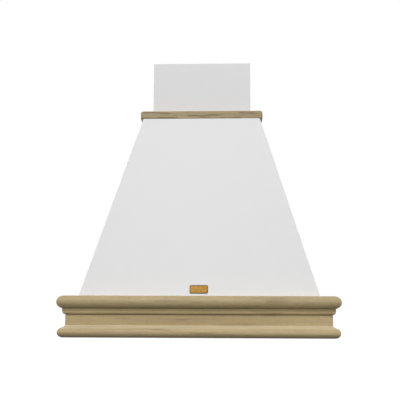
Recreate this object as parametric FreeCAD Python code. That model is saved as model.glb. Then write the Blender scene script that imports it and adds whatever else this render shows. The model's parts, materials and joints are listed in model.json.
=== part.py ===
import FreeCAD
import Part
import math
import os

# Chimney hood in a painted wooden cover with oak mouldings, hung on a wall.
# Millimetres. X runs to the right, the wall is the plane Y = 0 and the front faces -Y,
# Z is up and Z = 0 is the underside of the base moulding.

# ---- Cover: outside sizes ----
overall_width = 668.0
overall_depth = 500.0
base_height = 98.0
neck_height = 585.5
neck_width = 320.0
chimney_width = 272.0
chimney_depth = 264.0
chimney_top = 755.0

# ---- Cover: boards ----
panel_thickness = 12.0
rail_thickness = 18.0
corner_batten = 20.0
batten_top = 500.0
hanging_rail_low = 262.0
hanging_rail_height = 60.0
chimney_board = 12.0
chimney_batten = 15.0
sleeve_clearance = 1.5
seat_gap = 0.3

# ---- Base moulding profile, as projection from the rails and height ----
moulding_projection = 44.0
bead_radius = 15.0
ovolo_radius = 6.0
ovolo_lean = math.radians(9)
ovolo_below_bead = 14.0
band_projection = 25.3
band_bottom = 29.0
bullnose_radius = 12.0
bullnose_setback = 3.0
bullnose_turn = math.radians(80)
slope_hollow = 0.3

# ---- Cap moulding ----
cap_thickness = 22.5
cap_overhang = 8.0
cap_front_overhang = 1.5
cap_round = 7.5
cap_edge_round = 1.5

# ---- Badge plate ----
badge_width = 44.0
badge_height = 21.0
badge_thickness = 1.6
badge_corner = 3.0
badge_above_moulding = 6.0

# ---- Wall fixings ----
wall_hole_radius = 4.0
wall_hole_spacing = 300.0
wall_hole_low = 49.0

# ---- Screws ----
screw_radius = 2.0
screw_head_radius = 4.0
screw_head_height = 2.2
screw_bite = 16.0
hole_clearance = 0.25
moulding_screw_row_low = 42.0
moulding_screw_spacing = 150.0
tray_screw_spacing = 190.0

# ---- Canopy tray ----
tray_recess = 14.8
tray_sheet = 1.2
tray_edge_gap = 0.5
control_strip = 81.0

# ---- Grease filters ----
filter_width = 228.0
filter_thickness = 9.0
filter_gap = 1.0
filter_bar = 16.0
filter_from_wall = 50.0
filter_side_rim = 14.0
filter_front_rim = 30.0
filter_skin = 1.3
mesh_cover = 8.0
mesh_clearance = 0.2
filter_tab_width = 20.0
filter_tab_length = 5.0
filter_tab_thickness = 2.0
filter_tab_spacing = 140.0

# ---- Filter latches ----
latch_width = 43.4
latch_length = 9.0
latch_travel = 5.0
latch_wall = 3.0
latch_flange = 3.5
latch_flange_thickness = 1.5
latch_gap = 0.3
tongue_width = 19.4
tongue_thickness = 2.6
tongue_low = 3.2
grip_depth = 3.0
grip_length = 4.5

# ---- Controls and lamps ----
button_count = 5
button_radius = 8.0
button_pitch = 26.0
button_travel = 3.0
button_proud = 5.0
button_flange = 2.0
button_flange_thickness = 2.0
button_gap = 0.3
switch_box_depth = 40.0
switch_box_height = 32.0
switch_box_wall = 2.0
switch_size = 14.0
switch_stem_radius = 3.0
lamp_radius = 28.0
lamp_flange = 4.0
lamp_spacing = 400.0
lamp_depth = 31.0
lamp_wall = 1.5
lens_thickness = 3.0

# ---- Blower ----
wheel_radius = 75.0
wheel_blade = 13.0
wheel_length = 120.0
wheel_blades = 36
blade_thickness = 1.2
blade_lean = 28.0
wheel_ring = 1.5
hub_radius = 12.0
hub_length = 16.0
shaft_radius = 4.0
shaft_clearance = 0.05
blower_axis_height = 215.0
volute_radius = 88.0
volute_step = 8.0
volute_shift = 6.0
volute_width = 140.0
volute_wall = 2.5
outlet_depth = 130.0
outlet_height = 345.0
outlet_rim = 10.0
outlet_rim_thickness = 3.0
inlet_radius = 62.0
motor_radius = 38.0
motor_length = 94.0
motor_inner_end = 16.0
motor_flange = 8.0
spider_sheet = 2.5
spider_arm = 14.0
spider_reach = 72.0
spider_arms = 3

# ---- Blower supports ----
bearer_size = 30.0
bearer_sheet = 2.0
bearer_below_rail = 6.0
bearer_gap = 6.0
foot_length = 100.0
foot_height = 56.0
bolt_inset = 10.0
bolt_radius = 2.5
bolt_head_radius = 4.5
bolt_head_height = 2.5

# ---- Outlet collar and flaps ----
collar_radius = 75.0
collar_wall = 2.0
collar_height = 57.0
collar_flange = 80.0
collar_throat = 60.0
flap_thickness = 1.5
flap_gap = 0.3
flap_edge_gap = 2.0
flap_barrel_radius = 3.0
flap_pin_radius = 1.5
flap_pin_clearance = 0.05
flap_pin_spacing = 8.0
flap_barrel_length = 120.0

# ---- Terminal box and gland ----
terminal_width = 80.0
terminal_depth = 40.0
terminal_height = 50.0
terminal_low = 40.0
terminal_wall = 2.0
terminal_from_centre = 150.0
gland_radius = 10.0
gland_height = 22.0
gland_thread_radius = 8.0
gland_bore = 4.0

# ---- Chimney bracket ----
bracket_sheet = 2.0
bracket_height = 40.0
bracket_ear = 25.0
bracket_below_top = 15.0
bracket_hole_radius = 3.0
bracket_hole_spacing = 160.0

# ---- Internal leads ----
lead_radius = 2.5
lead_exit = 14.0

# ---- Sizes that follow from those above ----
rail_half_width = overall_width / 2 - moulding_projection
rail_depth = overall_depth - moulding_projection
neck_step = (neck_width - chimney_width) / 2
cap_depth = chimney_depth + neck_step
neck_depth = cap_depth + cap_overhang - cap_front_overhang
body_rise = neck_height - base_height
side_slope = math.atan((rail_half_width - neck_width / 2) / body_rise)
front_slope = math.atan((rail_depth - neck_depth) / body_rise)
side_inset = panel_thickness / math.cos(side_slope)
front_inset = panel_thickness / math.cos(front_slope)
tray_top = tray_recess + tray_sheet
bead_bottom = base_height - 2 * bead_radius
ovolo_bottom = bead_bottom - ovolo_below_bead
bearer_top = base_height - bearer_below_rail
hanging_rail_top = hanging_rail_low + hanging_rail_height
wall_hole_high = hanging_rail_low + hanging_rail_height / 2
opening_width = filter_width + 2 * filter_gap
opening_rear = -filter_from_wall
opening_front = -rail_depth + rail_thickness + control_strip
filter_front = opening_front + filter_gap
filter_rear = opening_rear - filter_gap
filter_centre = (filter_bar + opening_width) / 2
control_line = opening_front - control_strip / 2
duct_line = -chimney_depth / 2
volute_outer = volute_radius + 2 * volute_step
blower_line = duct_line + outlet_depth / 2 - (volute_outer + volute_step - volute_shift)
volute_half = volute_width / 2
collar_low = outlet_height + outlet_rim_thickness


def vec(x, y, z):
    return FreeCAD.Vector(x, y, z)


def box(low, high):
    """Block between two corners."""
    size = [top - bottom for bottom, top in zip(low, high)]
    return Part.makeBox(size[0], size[1], size[2], vec(*low))


def bar(radius, start, end):
    """Round bar from one point to another."""
    along = vec(*end).sub(vec(*start))
    return Part.makeCylinder(radius, along.Length, vec(*start), along)


def cut_all(shape, tools):
    """The shape without the tools; nothing to do for an empty list."""
    return shape.cut(list(tools)) if tools else shape


def join(first, others):
    """One solid from overlapping or touching solids."""
    return first.multiFuse(list(others)).removeSplitter()


def mirrored(shape):
    """The like piece on the other side of the centre line."""
    return shape.mirror(vec(0, 0, 0), vec(1, 0, 0))


def face_of(points):
    """Flat face with these corners."""
    return Part.Face(Part.makePolygon([vec(*point) for point in points + points[:1]]))


def flat_sided(lower, upper):
    """Solid between two outlines with as many corners, with flat sides."""
    faces = [face_of(lower), face_of(upper)]
    for here in range(len(lower)):
        after = (here + 1) % len(lower)
        faces.append(face_of([lower[here], lower[after], upper[after], upper[here]]))
    solid = Part.makeSolid(Part.makeShell(faces))
    if solid.Volume < 0:
        solid.reverse()
    return solid


def tapered(outline, low, high):
    """Solid whose outline at each height comes from a function of that height."""
    return flat_sided(outline(low), outline(high))


def closed_face(edges):
    return Part.Face(Part.Wire(edges))


def line(start, end):
    return Part.LineSegment(start, end).toShape()


def arc(start, middle, end):
    return Part.Arc(start, middle, end).toShape()


def screw(head, towards, length):
    """Pan-head screw: the underside of its head, the way it goes and how deep."""
    way = vec(*towards)
    tip = vec(*head).add(way * length)
    top = vec(*head).sub(way * screw_head_height)
    shank = bar(screw_radius, head, tip)
    return shank.fuse(bar(screw_head_radius, head, top))


def screw_hole(head, towards, length):
    way = vec(*towards)
    return bar(screw_radius + hole_clearance, head, vec(*head).add(way * length))


def evenly(low, high, spacing):
    """Places from one end to the other, no further apart than the spacing."""
    gaps = max(1, math.ceil((high - low) / spacing))
    return [low + (high - low) * step / gaps for step in range(gaps + 1)]


# ---- The tapered body ----

def outer_half(z):
    """Half width of the body's outside at a height."""
    return rail_half_width - (z - base_height) * math.tan(side_slope)


def outer_front(z):
    """Depth of the body's front at a height."""
    return rail_depth - (z - base_height) * math.tan(front_slope)


def inner_half(z):
    return outer_half(z) - side_inset


def inner_front(z):
    return outer_front(z) - front_inset


def front_panel_outline(z):
    return [
        (-outer_half(z), -outer_front(z), z),
        (outer_half(z), -outer_front(z), z),
        (inner_half(z), -inner_front(z), z),
        (-inner_half(z), -inner_front(z), z),
    ]


def side_panel_outline(z):
    return [
        (outer_half(z), -outer_front(z), z),
        (outer_half(z), 0, z),
        (inner_half(z), 0, z),
        (inner_half(z), -inner_front(z), z),
    ]


def corner_batten_outline(z):
    across = inner_half(z) - corner_batten
    back = -inner_front(z) + corner_batten
    return [
        (inner_half(z), -inner_front(z), z),
        (inner_half(z), back, z),
        (across, back, z),
        (across, -inner_front(z), z),
    ]


def rear_batten_outline(z):
    across = inner_half(z) - corner_batten
    return [
        (inner_half(z), -rail_thickness, z),
        (inner_half(z), 0, z),
        (across, 0, z),
        (across, -rail_thickness, z),
    ]


def hanging_rail_outline(z):
    across = inner_half(z) - corner_batten
    return [
        (-across, -rail_thickness, z),
        (across, -rail_thickness, z),
        (across, 0, z),
        (-across, 0, z),
    ]


def wall_holes(height):
    """Screw holes to the wall through a rail, at one height."""
    return [
        bar(wall_hole_radius, (side * wall_hole_spacing / 2, -rail_thickness - 1, height),
            (side * wall_hole_spacing / 2, 1, height))
        for side in (-1, 1)
    ]


def make_body():
    side = tapered(side_panel_outline, base_height, neck_height)
    corner = tapered(corner_batten_outline, base_height, batten_top)
    rear = tapered(rear_batten_outline, base_height, batten_top)
    hanging = tapered(hanging_rail_outline, hanging_rail_low, hanging_rail_top)
    return {
        "front_panel": tapered(front_panel_outline, base_height, neck_height),
        "right_side_panel": side,
        "left_side_panel": mirrored(side),
        "corner_battens": [corner, mirrored(corner)],
        "rear_battens": [rear, mirrored(rear)],
        "hanging_rail": cut_all(hanging, wall_holes(wall_hole_high)),
    }


# ---- Base rails and the screws in them ----

def moulding_screws():
    """Screws from inside the rails into the mouldings: head and direction of each."""
    places = []
    inside_front = -rail_depth + rail_thickness
    inside_side = rail_half_width - rail_thickness
    rows = (moulding_screw_row_low, base_height - bead_radius)
    reach = inside_side - screw_bite
    for z in rows:
        for x in evenly(-reach, reach, moulding_screw_spacing):
            places.append(((x, inside_front, z), (0, -1, 0)))
        for y in evenly(inside_front + screw_bite, -rail_thickness - screw_bite, moulding_screw_spacing):
            places.append(((inside_side, y, z), (1, 0, 0)))
            places.append(((-inside_side, y, z), (-1, 0, 0)))
    return places


def tray_screws():
    """Screws up through the edge of the tray into the rails."""
    places = []
    side = rail_half_width - rail_thickness / 2
    front = -rail_depth + rail_thickness / 2
    for x in evenly(-side, side, tray_screw_spacing):
        places.append(((x, front, tray_recess), (0, 0, 1)))
    for y in evenly(front, -rail_thickness - screw_bite, tray_screw_spacing)[1:]:
        places.append(((side, y, tray_recess), (0, 0, 1)))
        places.append(((-side, y, tray_recess), (0, 0, 1)))
    return places


def moulding_screw_length():
    return rail_thickness + screw_bite


def make_rails():
    inside_front = -rail_depth + rail_thickness
    inside_side = rail_half_width - rail_thickness
    holes = [screw_hole(head, way, moulding_screw_length()) for head, way in moulding_screws()]
    holes += [screw_hole(head, way, screw_bite) for head, way in tray_screws()]
    bearer_holes = [bolt_hole(*place) for place in bearer_bolts()]
    bearer_holes += [mirrored(hole) for hole in bearer_holes]
    front = box((-rail_half_width, -rail_depth, tray_top), (rail_half_width, inside_front, base_height))
    right = box((inside_side, inside_front, tray_top), (rail_half_width, -rail_thickness, base_height))
    rear = box((-rail_half_width, -rail_thickness, 0), (rail_half_width, 0, base_height))
    return {
        "base_rail_front": cut_all(front, holes + bearer_holes),
        "base_rail_right": cut_all(right, holes),
        "base_rail_left": cut_all(mirrored(right), holes),
        "base_rail_rear": cut_all(rear, wall_holes(wall_hole_low) + bearer_holes),
        "moulding_screws": [screw(h, w, moulding_screw_length()) for h, w in moulding_screws()],
    }


# ---- Mouldings ----

def bead_profile(at):
    """Half-round top bead: at() turns projection and height into a point."""
    start = moulding_projection - bead_radius
    return closed_face([
        line(at(0, bead_bottom), at(start, bead_bottom)),
        arc(at(start, bead_bottom), at(moulding_projection, bead_bottom + bead_radius), at(start, base_height)),
        line(at(start, base_height), at(0, base_height)),
        line(at(0, base_height), at(0, bead_bottom)),
    ])


def frieze_profile(at):
    """Bullnose foot, hollow slope, flat band and leaning ovolo, from the bottom up."""
    nose = moulding_projection - bullnose_setback
    foot = nose - bullnose_radius
    slope_foot = foot + bullnose_radius * math.cos(bullnose_turn)
    slope_low = bullnose_radius * (1 + math.sin(bullnose_turn))
    slope_middle = at(
        (slope_foot + band_projection) / 2 - slope_hollow, (slope_low + band_bottom) / 2 - slope_hollow)

    def round_point(below):
        return at(band_projection + ovolo_radius * math.cos(below),
                  ovolo_bottom + ovolo_radius - ovolo_radius * math.sin(below))

    lean_height = ovolo_below_bead - ovolo_radius + ovolo_radius * math.sin(ovolo_lean)
    ovolo_top = band_projection + ovolo_radius * math.cos(ovolo_lean) + lean_height * math.tan(ovolo_lean)
    return closed_face([
        line(at(0, 0), at(foot, 0)),
        arc(at(foot, 0), at(nose, bullnose_radius), at(slope_foot, slope_low)),
        arc(at(slope_foot, slope_low), slope_middle, at(band_projection, band_bottom)),
        line(at(band_projection, band_bottom), at(band_projection, ovolo_bottom)),
        arc(at(band_projection, ovolo_bottom), round_point(math.radians(45)), round_point(ovolo_lean)),
        line(round_point(ovolo_lean), at(ovolo_top, bead_bottom)),
        line(at(ovolo_top, bead_bottom), at(0, bead_bottom)),
        line(at(0, bead_bottom), at(0, 0)),
    ])


def cap_profile(at):
    """Flat oak strip that lies on the body, rounded along its outer edge."""
    inner = sleeve_clearance - neck_step
    top = neck_height + cap_thickness
    turn = cap_round * (1 - math.sqrt(0.5))
    ease = cap_edge_round * (1 - math.sqrt(0.5))
    return closed_face([
        line(at(inner, neck_height), at(cap_overhang - cap_edge_round, neck_height)),
        arc(at(cap_overhang - cap_edge_round, neck_height), at(cap_overhang - ease, neck_height + ease),
            at(cap_overhang, neck_height + cap_edge_round)),
        line(at(cap_overhang, neck_height + cap_edge_round), at(cap_overhang, top - cap_round)),
        arc(at(cap_overhang, top - cap_round), at(cap_overhang - turn, top - turn),
            at(cap_overhang - cap_round, top)),
        line(at(cap_overhang - cap_round, top), at(inner, top)),
        line(at(inner, top), at(inner, neck_height)),
    ])


def mitred_set(profile, half_width, depth, low, high):
    """Front, right and left lengths of one moulding, mitred at the front corners."""
    out = moulding_projection + 1
    into = neck_step + 1

    def prism(corners):
        outline = face_of([(x, y, low - 1) for x, y in corners])
        return outline.extrude(vec(0, 0, high - low + 2))

    def front_at(p, z):
        return vec(-half_width - out, -depth - p, z)

    def side_at(p, z):
        return vec(half_width + p, -depth - out, z)

    corner_out = (half_width + out, -depth - out)
    corner_in = (half_width - into, -depth + into)
    front = profile(front_at).extrude(vec(2 * (half_width + out), 0, 0)).common(
        prism([(-corner_out[0], corner_out[1]), corner_out, corner_in, (-corner_in[0], corner_in[1])]))
    right = profile(side_at).extrude(vec(0, depth + out, 0)).common(
        prism([corner_out, (corner_out[0], 0), (corner_in[0], 0), corner_in]))
    return front, right, mirrored(right)


def make_mouldings():
    holes = [screw_hole(head, way, moulding_screw_length()) for head, way in moulding_screws()]
    nodes = {}
    for name, profile, low, high in (
            ("top_bead", bead_profile, bead_bottom, base_height),
            ("frieze", frieze_profile, 0, bead_bottom)):
        front, right, left = mitred_set(profile, rail_half_width, rail_depth, low, high)
        nodes[name + "_front"] = cut_all(front, holes)
        nodes[name + "_right"] = cut_all(right, holes)
        nodes[name + "_left"] = cut_all(left, holes)
    front, right, left = mitred_set(
        cap_profile, neck_width / 2, cap_depth, neck_height, neck_height + cap_thickness)
    nodes["cap_moulding_front"] = front
    nodes["cap_moulding_right"] = right
    nodes["cap_moulding_left"] = left
    return nodes


def make_badge():
    """Bare brass plate on the sloping front panel, just above the moulding."""
    plate = box((-badge_width / 2, -badge_thickness, 0), (badge_width / 2, 0, badge_height))
    upright = [edge for edge in plate.Edges if abs(edge.tangentAt(edge.FirstParameter).y) > 0.9]
    plate = plate.makeFillet(badge_corner, upright)
    lift = badge_above_moulding + base_height
    plate.rotate(vec(0, 0, 0), vec(1, 0, 0), -math.degrees(front_slope))
    plate.translate(vec(0, -outer_front(lift), lift))
    return {"badge_plate": plate}


# ---- Chimney box ----

def make_chimney():
    low = hanging_rail_top + seat_gap
    half = chimney_width / 2
    inside = half - chimney_board
    front = box((-half, -chimney_depth, low), (half, -chimney_depth + chimney_board, chimney_top))
    right = box((inside, -chimney_depth + chimney_board, low), (half, 0, chimney_top))
    batten = box((inside - chimney_batten, -chimney_depth + chimney_board, low),
                 (inside, -chimney_depth + chimney_board + chimney_batten, chimney_top))
    bracket_top = chimney_top - bracket_below_top
    bracket_low = bracket_top - bracket_height
    middle = bracket_top - bracket_height / 2
    plate = box((-inside, -bracket_sheet, bracket_low), (inside, 0, bracket_top))
    ear = box((inside - bracket_sheet, -bracket_ear, bracket_low), (inside, 0, bracket_top))
    bracket = join(plate, [ear, mirrored(ear)])
    wall = [
        bar(bracket_hole_radius, (side * bracket_hole_spacing / 2, -bracket_sheet - 1, middle),
            (side * bracket_hole_spacing / 2, 1, middle))
        for side in (-1, 1)
    ]
    heads = [((side * half, -bracket_ear / 2, middle), (-side, 0, 0)) for side in (-1, 1)]
    length = chimney_board + 3 * bracket_sheet
    holes = [screw_hole(head, way, length) for head, way in heads]
    return {
        "chimney_front": front,
        "chimney_right": cut_all(right, holes),
        "chimney_left": cut_all(mirrored(right), holes),
        "chimney_battens": [batten, mirrored(batten)],
        "chimney_bracket": cut_all(bracket, wall + holes),
        "chimney_screws": [screw(head, way, length) for head, way in heads],
    }


# ---- Canopy tray, controls and lamps ----

def button_places():
    first = -(button_count - 1) * button_pitch / 2
    return [first + step * button_pitch for step in range(button_count)]


def make_tray():
    side = rail_half_width - tray_edge_gap
    front = -rail_depth + tray_edge_gap
    plate = box((-side, front, tray_recess), (side, -rail_thickness - tray_edge_gap, tray_top))
    tools = []
    for way in (-1, 1):
        near = way * filter_bar / 2
        far = way * (filter_bar / 2 + opening_width)
        tools.append(box((min(near, far), opening_front, tray_recess - 1),
                         (max(near, far), opening_rear, tray_top + 1)))
        lamp = way * lamp_spacing / 2
        tools.append(bar(lamp_radius + button_gap, (lamp, control_line, tray_recess - 1),
                         (lamp, control_line, tray_top + 1)))
    for x in button_places():
        tools.append(bar(button_radius + button_gap, (x, control_line, tray_recess - 1),
                         (x, control_line, tray_top + 1)))
    tools += [screw_hole(head, way, screw_bite) for head, way in tray_screws()]
    return {
        "canopy_tray": cut_all(plate, tools),
        "tray_screws": [screw(head, way, screw_bite) for head, way in tray_screws()],
    }


def make_controls():
    half = (button_count * button_pitch) / 2 + switch_box_wall
    back = switch_box_depth / 2
    high = tray_top + switch_box_height
    shell = box((-half, control_line - back, tray_top), (half, control_line + back, high))
    cavity = box((-half + switch_box_wall, control_line - back + switch_box_wall, tray_top - 1),
                 (half - switch_box_wall, control_line + back - switch_box_wall, high - switch_box_wall))
    nodes = {"switch_box": shell.cut(cavity)}
    flange_low = tray_top + button_gap
    flange_high = flange_low + button_flange_thickness
    stem_top = high - switch_box_wall - switch_size - button_travel - button_gap
    switches = []
    for number, x in enumerate(button_places(), 1):
        cap = bar(button_radius, (x, control_line, tray_recess - button_proud), (x, control_line, flange_low))
        flange = bar(button_radius + button_flange, (x, control_line, flange_low), (x, control_line, flange_high))
        stem = bar(switch_stem_radius, (x, control_line, flange_high), (x, control_line, stem_top))
        rim = [edge for edge in cap.Edges if edge.BoundBox.ZMax < tray_recess - button_proud + 0.01]
        cap = cap.makeFillet(1.0, [edge for edge in rim if not edge.isSeam(cap.Faces[0])])
        nodes["push_button_%d" % number] = join(cap, [flange, stem])
        low = high - switch_box_wall - switch_size
        switches.append(box((x - switch_size / 2, control_line - switch_size / 2, low),
                            (x + switch_size / 2, control_line + switch_size / 2, high - switch_box_wall)))
    nodes["switches"] = switches
    return nodes


def make_lamps():
    housings = []
    lenses = []
    for way in (-1, 1):
        x = way * lamp_spacing / 2
        low = tray_recess - lamp_wall
        high = tray_recess + lamp_depth
        flange = bar(lamp_radius + lamp_flange, (x, control_line, low), (x, control_line, tray_recess))
        cup = bar(lamp_radius, (x, control_line, tray_recess), (x, control_line, high))
        hollow = bar(lamp_radius - lamp_wall, (x, control_line, low - 1), (x, control_line, high - lamp_wall))
        housings.append(flange.fuse(cup).cut(hollow))
        lenses.append(bar(lamp_radius - lamp_wall - mesh_clearance, (x, control_line, low + mesh_clearance),
                          (x, control_line, low + mesh_clearance + lens_thickness)))
    return {"lamp_housings": housings, "lamp_lenses": lenses}


# ---- Grease filters ----

def make_filter():
    """Right-hand filter: frame, mesh and latch."""
    x = filter_centre
    half = filter_width / 2
    low = tray_recess
    high = low + filter_thickness
    outer = box((x - half, filter_front, low), (x + half, filter_rear, high))
    window = box((x - half + filter_side_rim, filter_front + filter_front_rim, low - 1),
                 (x + half - filter_side_rim, filter_rear - filter_side_rim, high + 1))
    pocket_side = filter_side_rim - mesh_cover
    pocket = box((x - half + pocket_side, filter_front + filter_front_rim - mesh_cover, low + filter_skin),
                 (x + half - pocket_side, filter_rear - pocket_side, high - filter_skin))
    mesh = box(
        (x - half + pocket_side + mesh_clearance, filter_front + filter_front_rim - mesh_cover + mesh_clearance,
         low + filter_skin + mesh_clearance),
        (x + half - pocket_side - mesh_clearance, filter_rear - pocket_side - mesh_clearance,
         high - filter_skin - mesh_clearance))
    tabs = []
    tab_low = tray_top + button_gap
    for way in (-1, 1):
        centre = x + way * filter_tab_spacing / 2
        tabs.append(box((centre - filter_tab_width / 2, filter_rear - 1, tab_low),
                        (centre + filter_tab_width / 2, opening_rear + filter_tab_length,
                         tab_low + filter_tab_thickness)))
    latch_room = box(
        (x - latch_width / 2 - latch_gap, filter_front + latch_wall, low - 1),
        (x + latch_width / 2 + latch_gap,
         filter_front + latch_wall + latch_length + latch_travel + 3 * latch_gap, high + 1))
    tongue_slot = box(
        (x - tongue_width / 2 - latch_gap, filter_front - 1, low + tongue_low - latch_gap),
        (x + tongue_width / 2 + latch_gap, filter_front + latch_wall + 1,
         low + tongue_low + tongue_thickness + latch_gap))
    frame = join(outer, tabs).cut([window, pocket, latch_room, tongue_slot])
    start = filter_front + latch_wall + latch_gap
    slider = box((x - latch_width / 2, start, low), (x + latch_width / 2, start + latch_length, high))
    flange = box((x - latch_width / 2 - latch_flange, start, high + latch_gap / 3),
                 (x + latch_width / 2 + latch_flange, start + latch_length,
                  high + latch_gap / 3 + latch_flange_thickness))
    neck = box((x - latch_width / 2, start, high - 1),
               (x + latch_width / 2, start + latch_length, high + latch_gap))
    tongue = box((x - tongue_width / 2, opening_front + latch_gap, low + tongue_low),
                 (x + tongue_width / 2, start + 1, low + tongue_low + tongue_thickness))
    grip = box((x - latch_width / 2 + latch_wall, start + (latch_length - grip_length) / 2, low - 1),
               (x + latch_width / 2 - latch_wall, start + (latch_length + grip_length) / 2, low + grip_depth))
    latch = join(slider, [flange, neck, tongue]).cut(grip)
    return frame, mesh, latch


def make_filters():
    frame, mesh, latch = make_filter()
    return {
        "filter_frame_right": frame,
        "filter_mesh_right": mesh,
        "filter_latch_right": latch,
        "filter_frame_left": mirrored(frame),
        "filter_mesh_left": mirrored(mesh),
        "filter_latch_left": mirrored(latch),
    }


# ---- Blower ----

def volute_face(inset, top, x):
    """Outline of the scroll, from the outlet down round the wheel and up again."""
    first = volute_radius - inset
    second = first + volute_step
    third = second + volute_step
    y1 = blower_line - volute_shift
    z1 = blower_axis_height - volute_shift
    y2 = y1 + volute_step
    z3 = z1 + volute_step
    rear = y2 + third
    tongue_y = y2 + volute_outer - outlet_depth + inset
    tongue_z = z1 + math.sqrt(first ** 2 - (tongue_y - y1) ** 2)
    start_turn = (math.atan2(tongue_z - z1, tongue_y - y1) + math.pi) / 2
    half_turn = math.sqrt(0.5)

    def at(y, z):
        return vec(x, y, z)

    return closed_face([
        line(at(tongue_y, top), at(tongue_y, tongue_z)),
        arc(at(tongue_y, tongue_z), at(y1 + first * math.cos(start_turn), z1 + first * math.sin(start_turn)),
            at(y1 - first, z1)),
        arc(at(y1 - first, z1), at(y2 - second * half_turn, z1 - second * half_turn), at(y2, z1 - second)),
        arc(at(y2, z1 - second), at(y2 + third * half_turn, z3 - third * half_turn), at(rear, z3)),
        line(at(rear, z3), at(rear, top)),
        line(at(rear, top), at(tongue_y, top)),
    ])


def foot_bolts():
    """Bolts of the right-hand foot: through the scroll's side and through the bearer."""
    places = []
    side_bolt = bearer_top + bearer_sheet + foot_height - 2 * bolt_inset
    middle = volute_half + bearer_gap + bearer_sheet + bearer_size / 2
    for way in (-1, 1):
        y = blower_line + way * (foot_length / 2 - bolt_inset)
        places.append(((volute_half + bearer_sheet, y, side_bolt), (-1, 0, 0), volute_wall + 2 * bearer_sheet))
        places.append(((middle, y, bearer_top + bearer_sheet), (0, 0, -1), 3 * bearer_sheet))
    return places


def bearer_bolts():
    """Screws of the right-hand bearer into the front and rear rails."""
    x = volute_half + bearer_gap + bearer_size / 2
    z = bearer_top - bearer_size / 2
    front = -rail_depth + rail_thickness + bearer_sheet
    rear = -rail_thickness - bearer_sheet
    length = rail_thickness - bearer_sheet
    return [((x, front, z), (0, -1, 0), length), ((x, rear, z), (0, 1, 0), length)]


def bolt(head, towards, length):
    way = vec(*towards)
    shank = bar(bolt_radius, head, vec(*head).add(way * length))
    return shank.fuse(bar(bolt_head_radius, head, vec(*head).sub(way * bolt_head_height)))


def bolt_hole(head, towards, length):
    way = vec(*towards)
    return bar(bolt_radius + hole_clearance, head, vec(*head).add(way * (length + 1)))


def make_scroll():
    side = volute_face(0, outlet_height, 0).extrude(vec(volute_half, 0, 0))
    hollow = volute_face(volute_wall, outlet_height + 1, 0).extrude(vec(volute_half - volute_wall, 0, 0))
    axis = (0, blower_line, blower_axis_height)
    eye = bar(inlet_radius, axis, (volute_half + 1, blower_line, blower_axis_height))
    rim_front = duct_line - outlet_depth / 2 - outlet_rim
    rim_rear = duct_line + outlet_depth / 2 + outlet_rim
    rim = box((0, rim_front, outlet_height - outlet_rim_thickness),
              (volute_half + outlet_rim, rim_rear, outlet_height))
    shell = join(side, [rim]).cut([hollow, eye])
    holes = [bolt_hole(*place) for place in foot_bolts()]
    return cut_all(shell, holes)


def make_wheel():
    """Wheel of two end rings, a middle disc on its hub, and blades that run through the disc."""
    half = wheel_length / 2
    inner = wheel_radius - wheel_blade
    start = vec(-half + wheel_ring, blower_line, blower_axis_height)
    along = vec(1, 0, 0)

    def ring(x, outer, hole, width):
        place = vec(x, blower_line, blower_axis_height)
        disc = Part.makeCylinder(outer, width, place, along)
        return disc.cut(Part.makeCylinder(hole, width, place, along))

    blades = []
    for number in range(wheel_blades):
        blade = Part.makeBox(wheel_length - 2 * wheel_ring, blade_thickness, wheel_blade - 1,
                             start.add(vec(0, 0, inner)))
        blade.rotate(start.add(vec(0, 0, inner)), along, -blade_lean)
        blade.rotate(start, along, number * 360.0 / wheel_blades)
        blades.append(blade)
    rings = [
        ring(-half, wheel_radius, inner - 1, wheel_ring),
        ring(half - wheel_ring, wheel_radius, inner - 1, wheel_ring),
    ]
    wheel = [
        cut_all(ring(-wheel_ring / 2, wheel_radius, hub_radius, wheel_ring), blades),
        ring(-hub_length / 2, hub_radius, shaft_radius, hub_length),
    ] + blades
    shaft = bar(shaft_radius, (-motor_inner_end - motor_length / 2, blower_line, blower_axis_height),
                (hub_length / 2 + 4, blower_line, blower_axis_height))
    return wheel, rings, shaft


def make_motor():
    outer_end = -motor_inner_end - motor_length
    plate = -volute_half - spider_sheet
    body = bar(motor_radius, (outer_end, blower_line, blower_axis_height),
               (-motor_inner_end, blower_line, blower_axis_height))
    flange = bar(motor_radius + motor_flange, (plate - spider_sheet, blower_line, blower_axis_height),
                 (plate, blower_line, blower_axis_height))
    bore = bar(shaft_radius + shaft_clearance,
               (-motor_inner_end - motor_length / 2 - 1, blower_line, blower_axis_height),
               (0, blower_line, blower_axis_height))
    rim = [edge for edge in body.Edges if edge.BoundBox.XMax < outer_end + 0.01]
    body = body.makeFillet(4.0, rim[:1])
    motor = join(body, [flange]).cut(bore)
    hub = bar(motor_radius + motor_flange, (plate, blower_line, blower_axis_height),
              (-volute_half, blower_line, blower_axis_height))
    arms = []
    for number in range(spider_arms):
        arm = box((plate, blower_line - spider_arm / 2, blower_axis_height),
                  (-volute_half, blower_line + spider_arm / 2, blower_axis_height + spider_reach))
        arm.rotate(vec(plate, blower_line, blower_axis_height), vec(1, 0, 0), number * 360.0 / spider_arms)
        arms.append(arm)
    opening = bar(motor_radius + shaft_clearance, (plate - 1, blower_line, blower_axis_height),
                  (0, blower_line, blower_axis_height))
    spider = join(hub, arms).cut(opening)
    return {"motor": motor, "motor_spider": spider}


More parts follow.
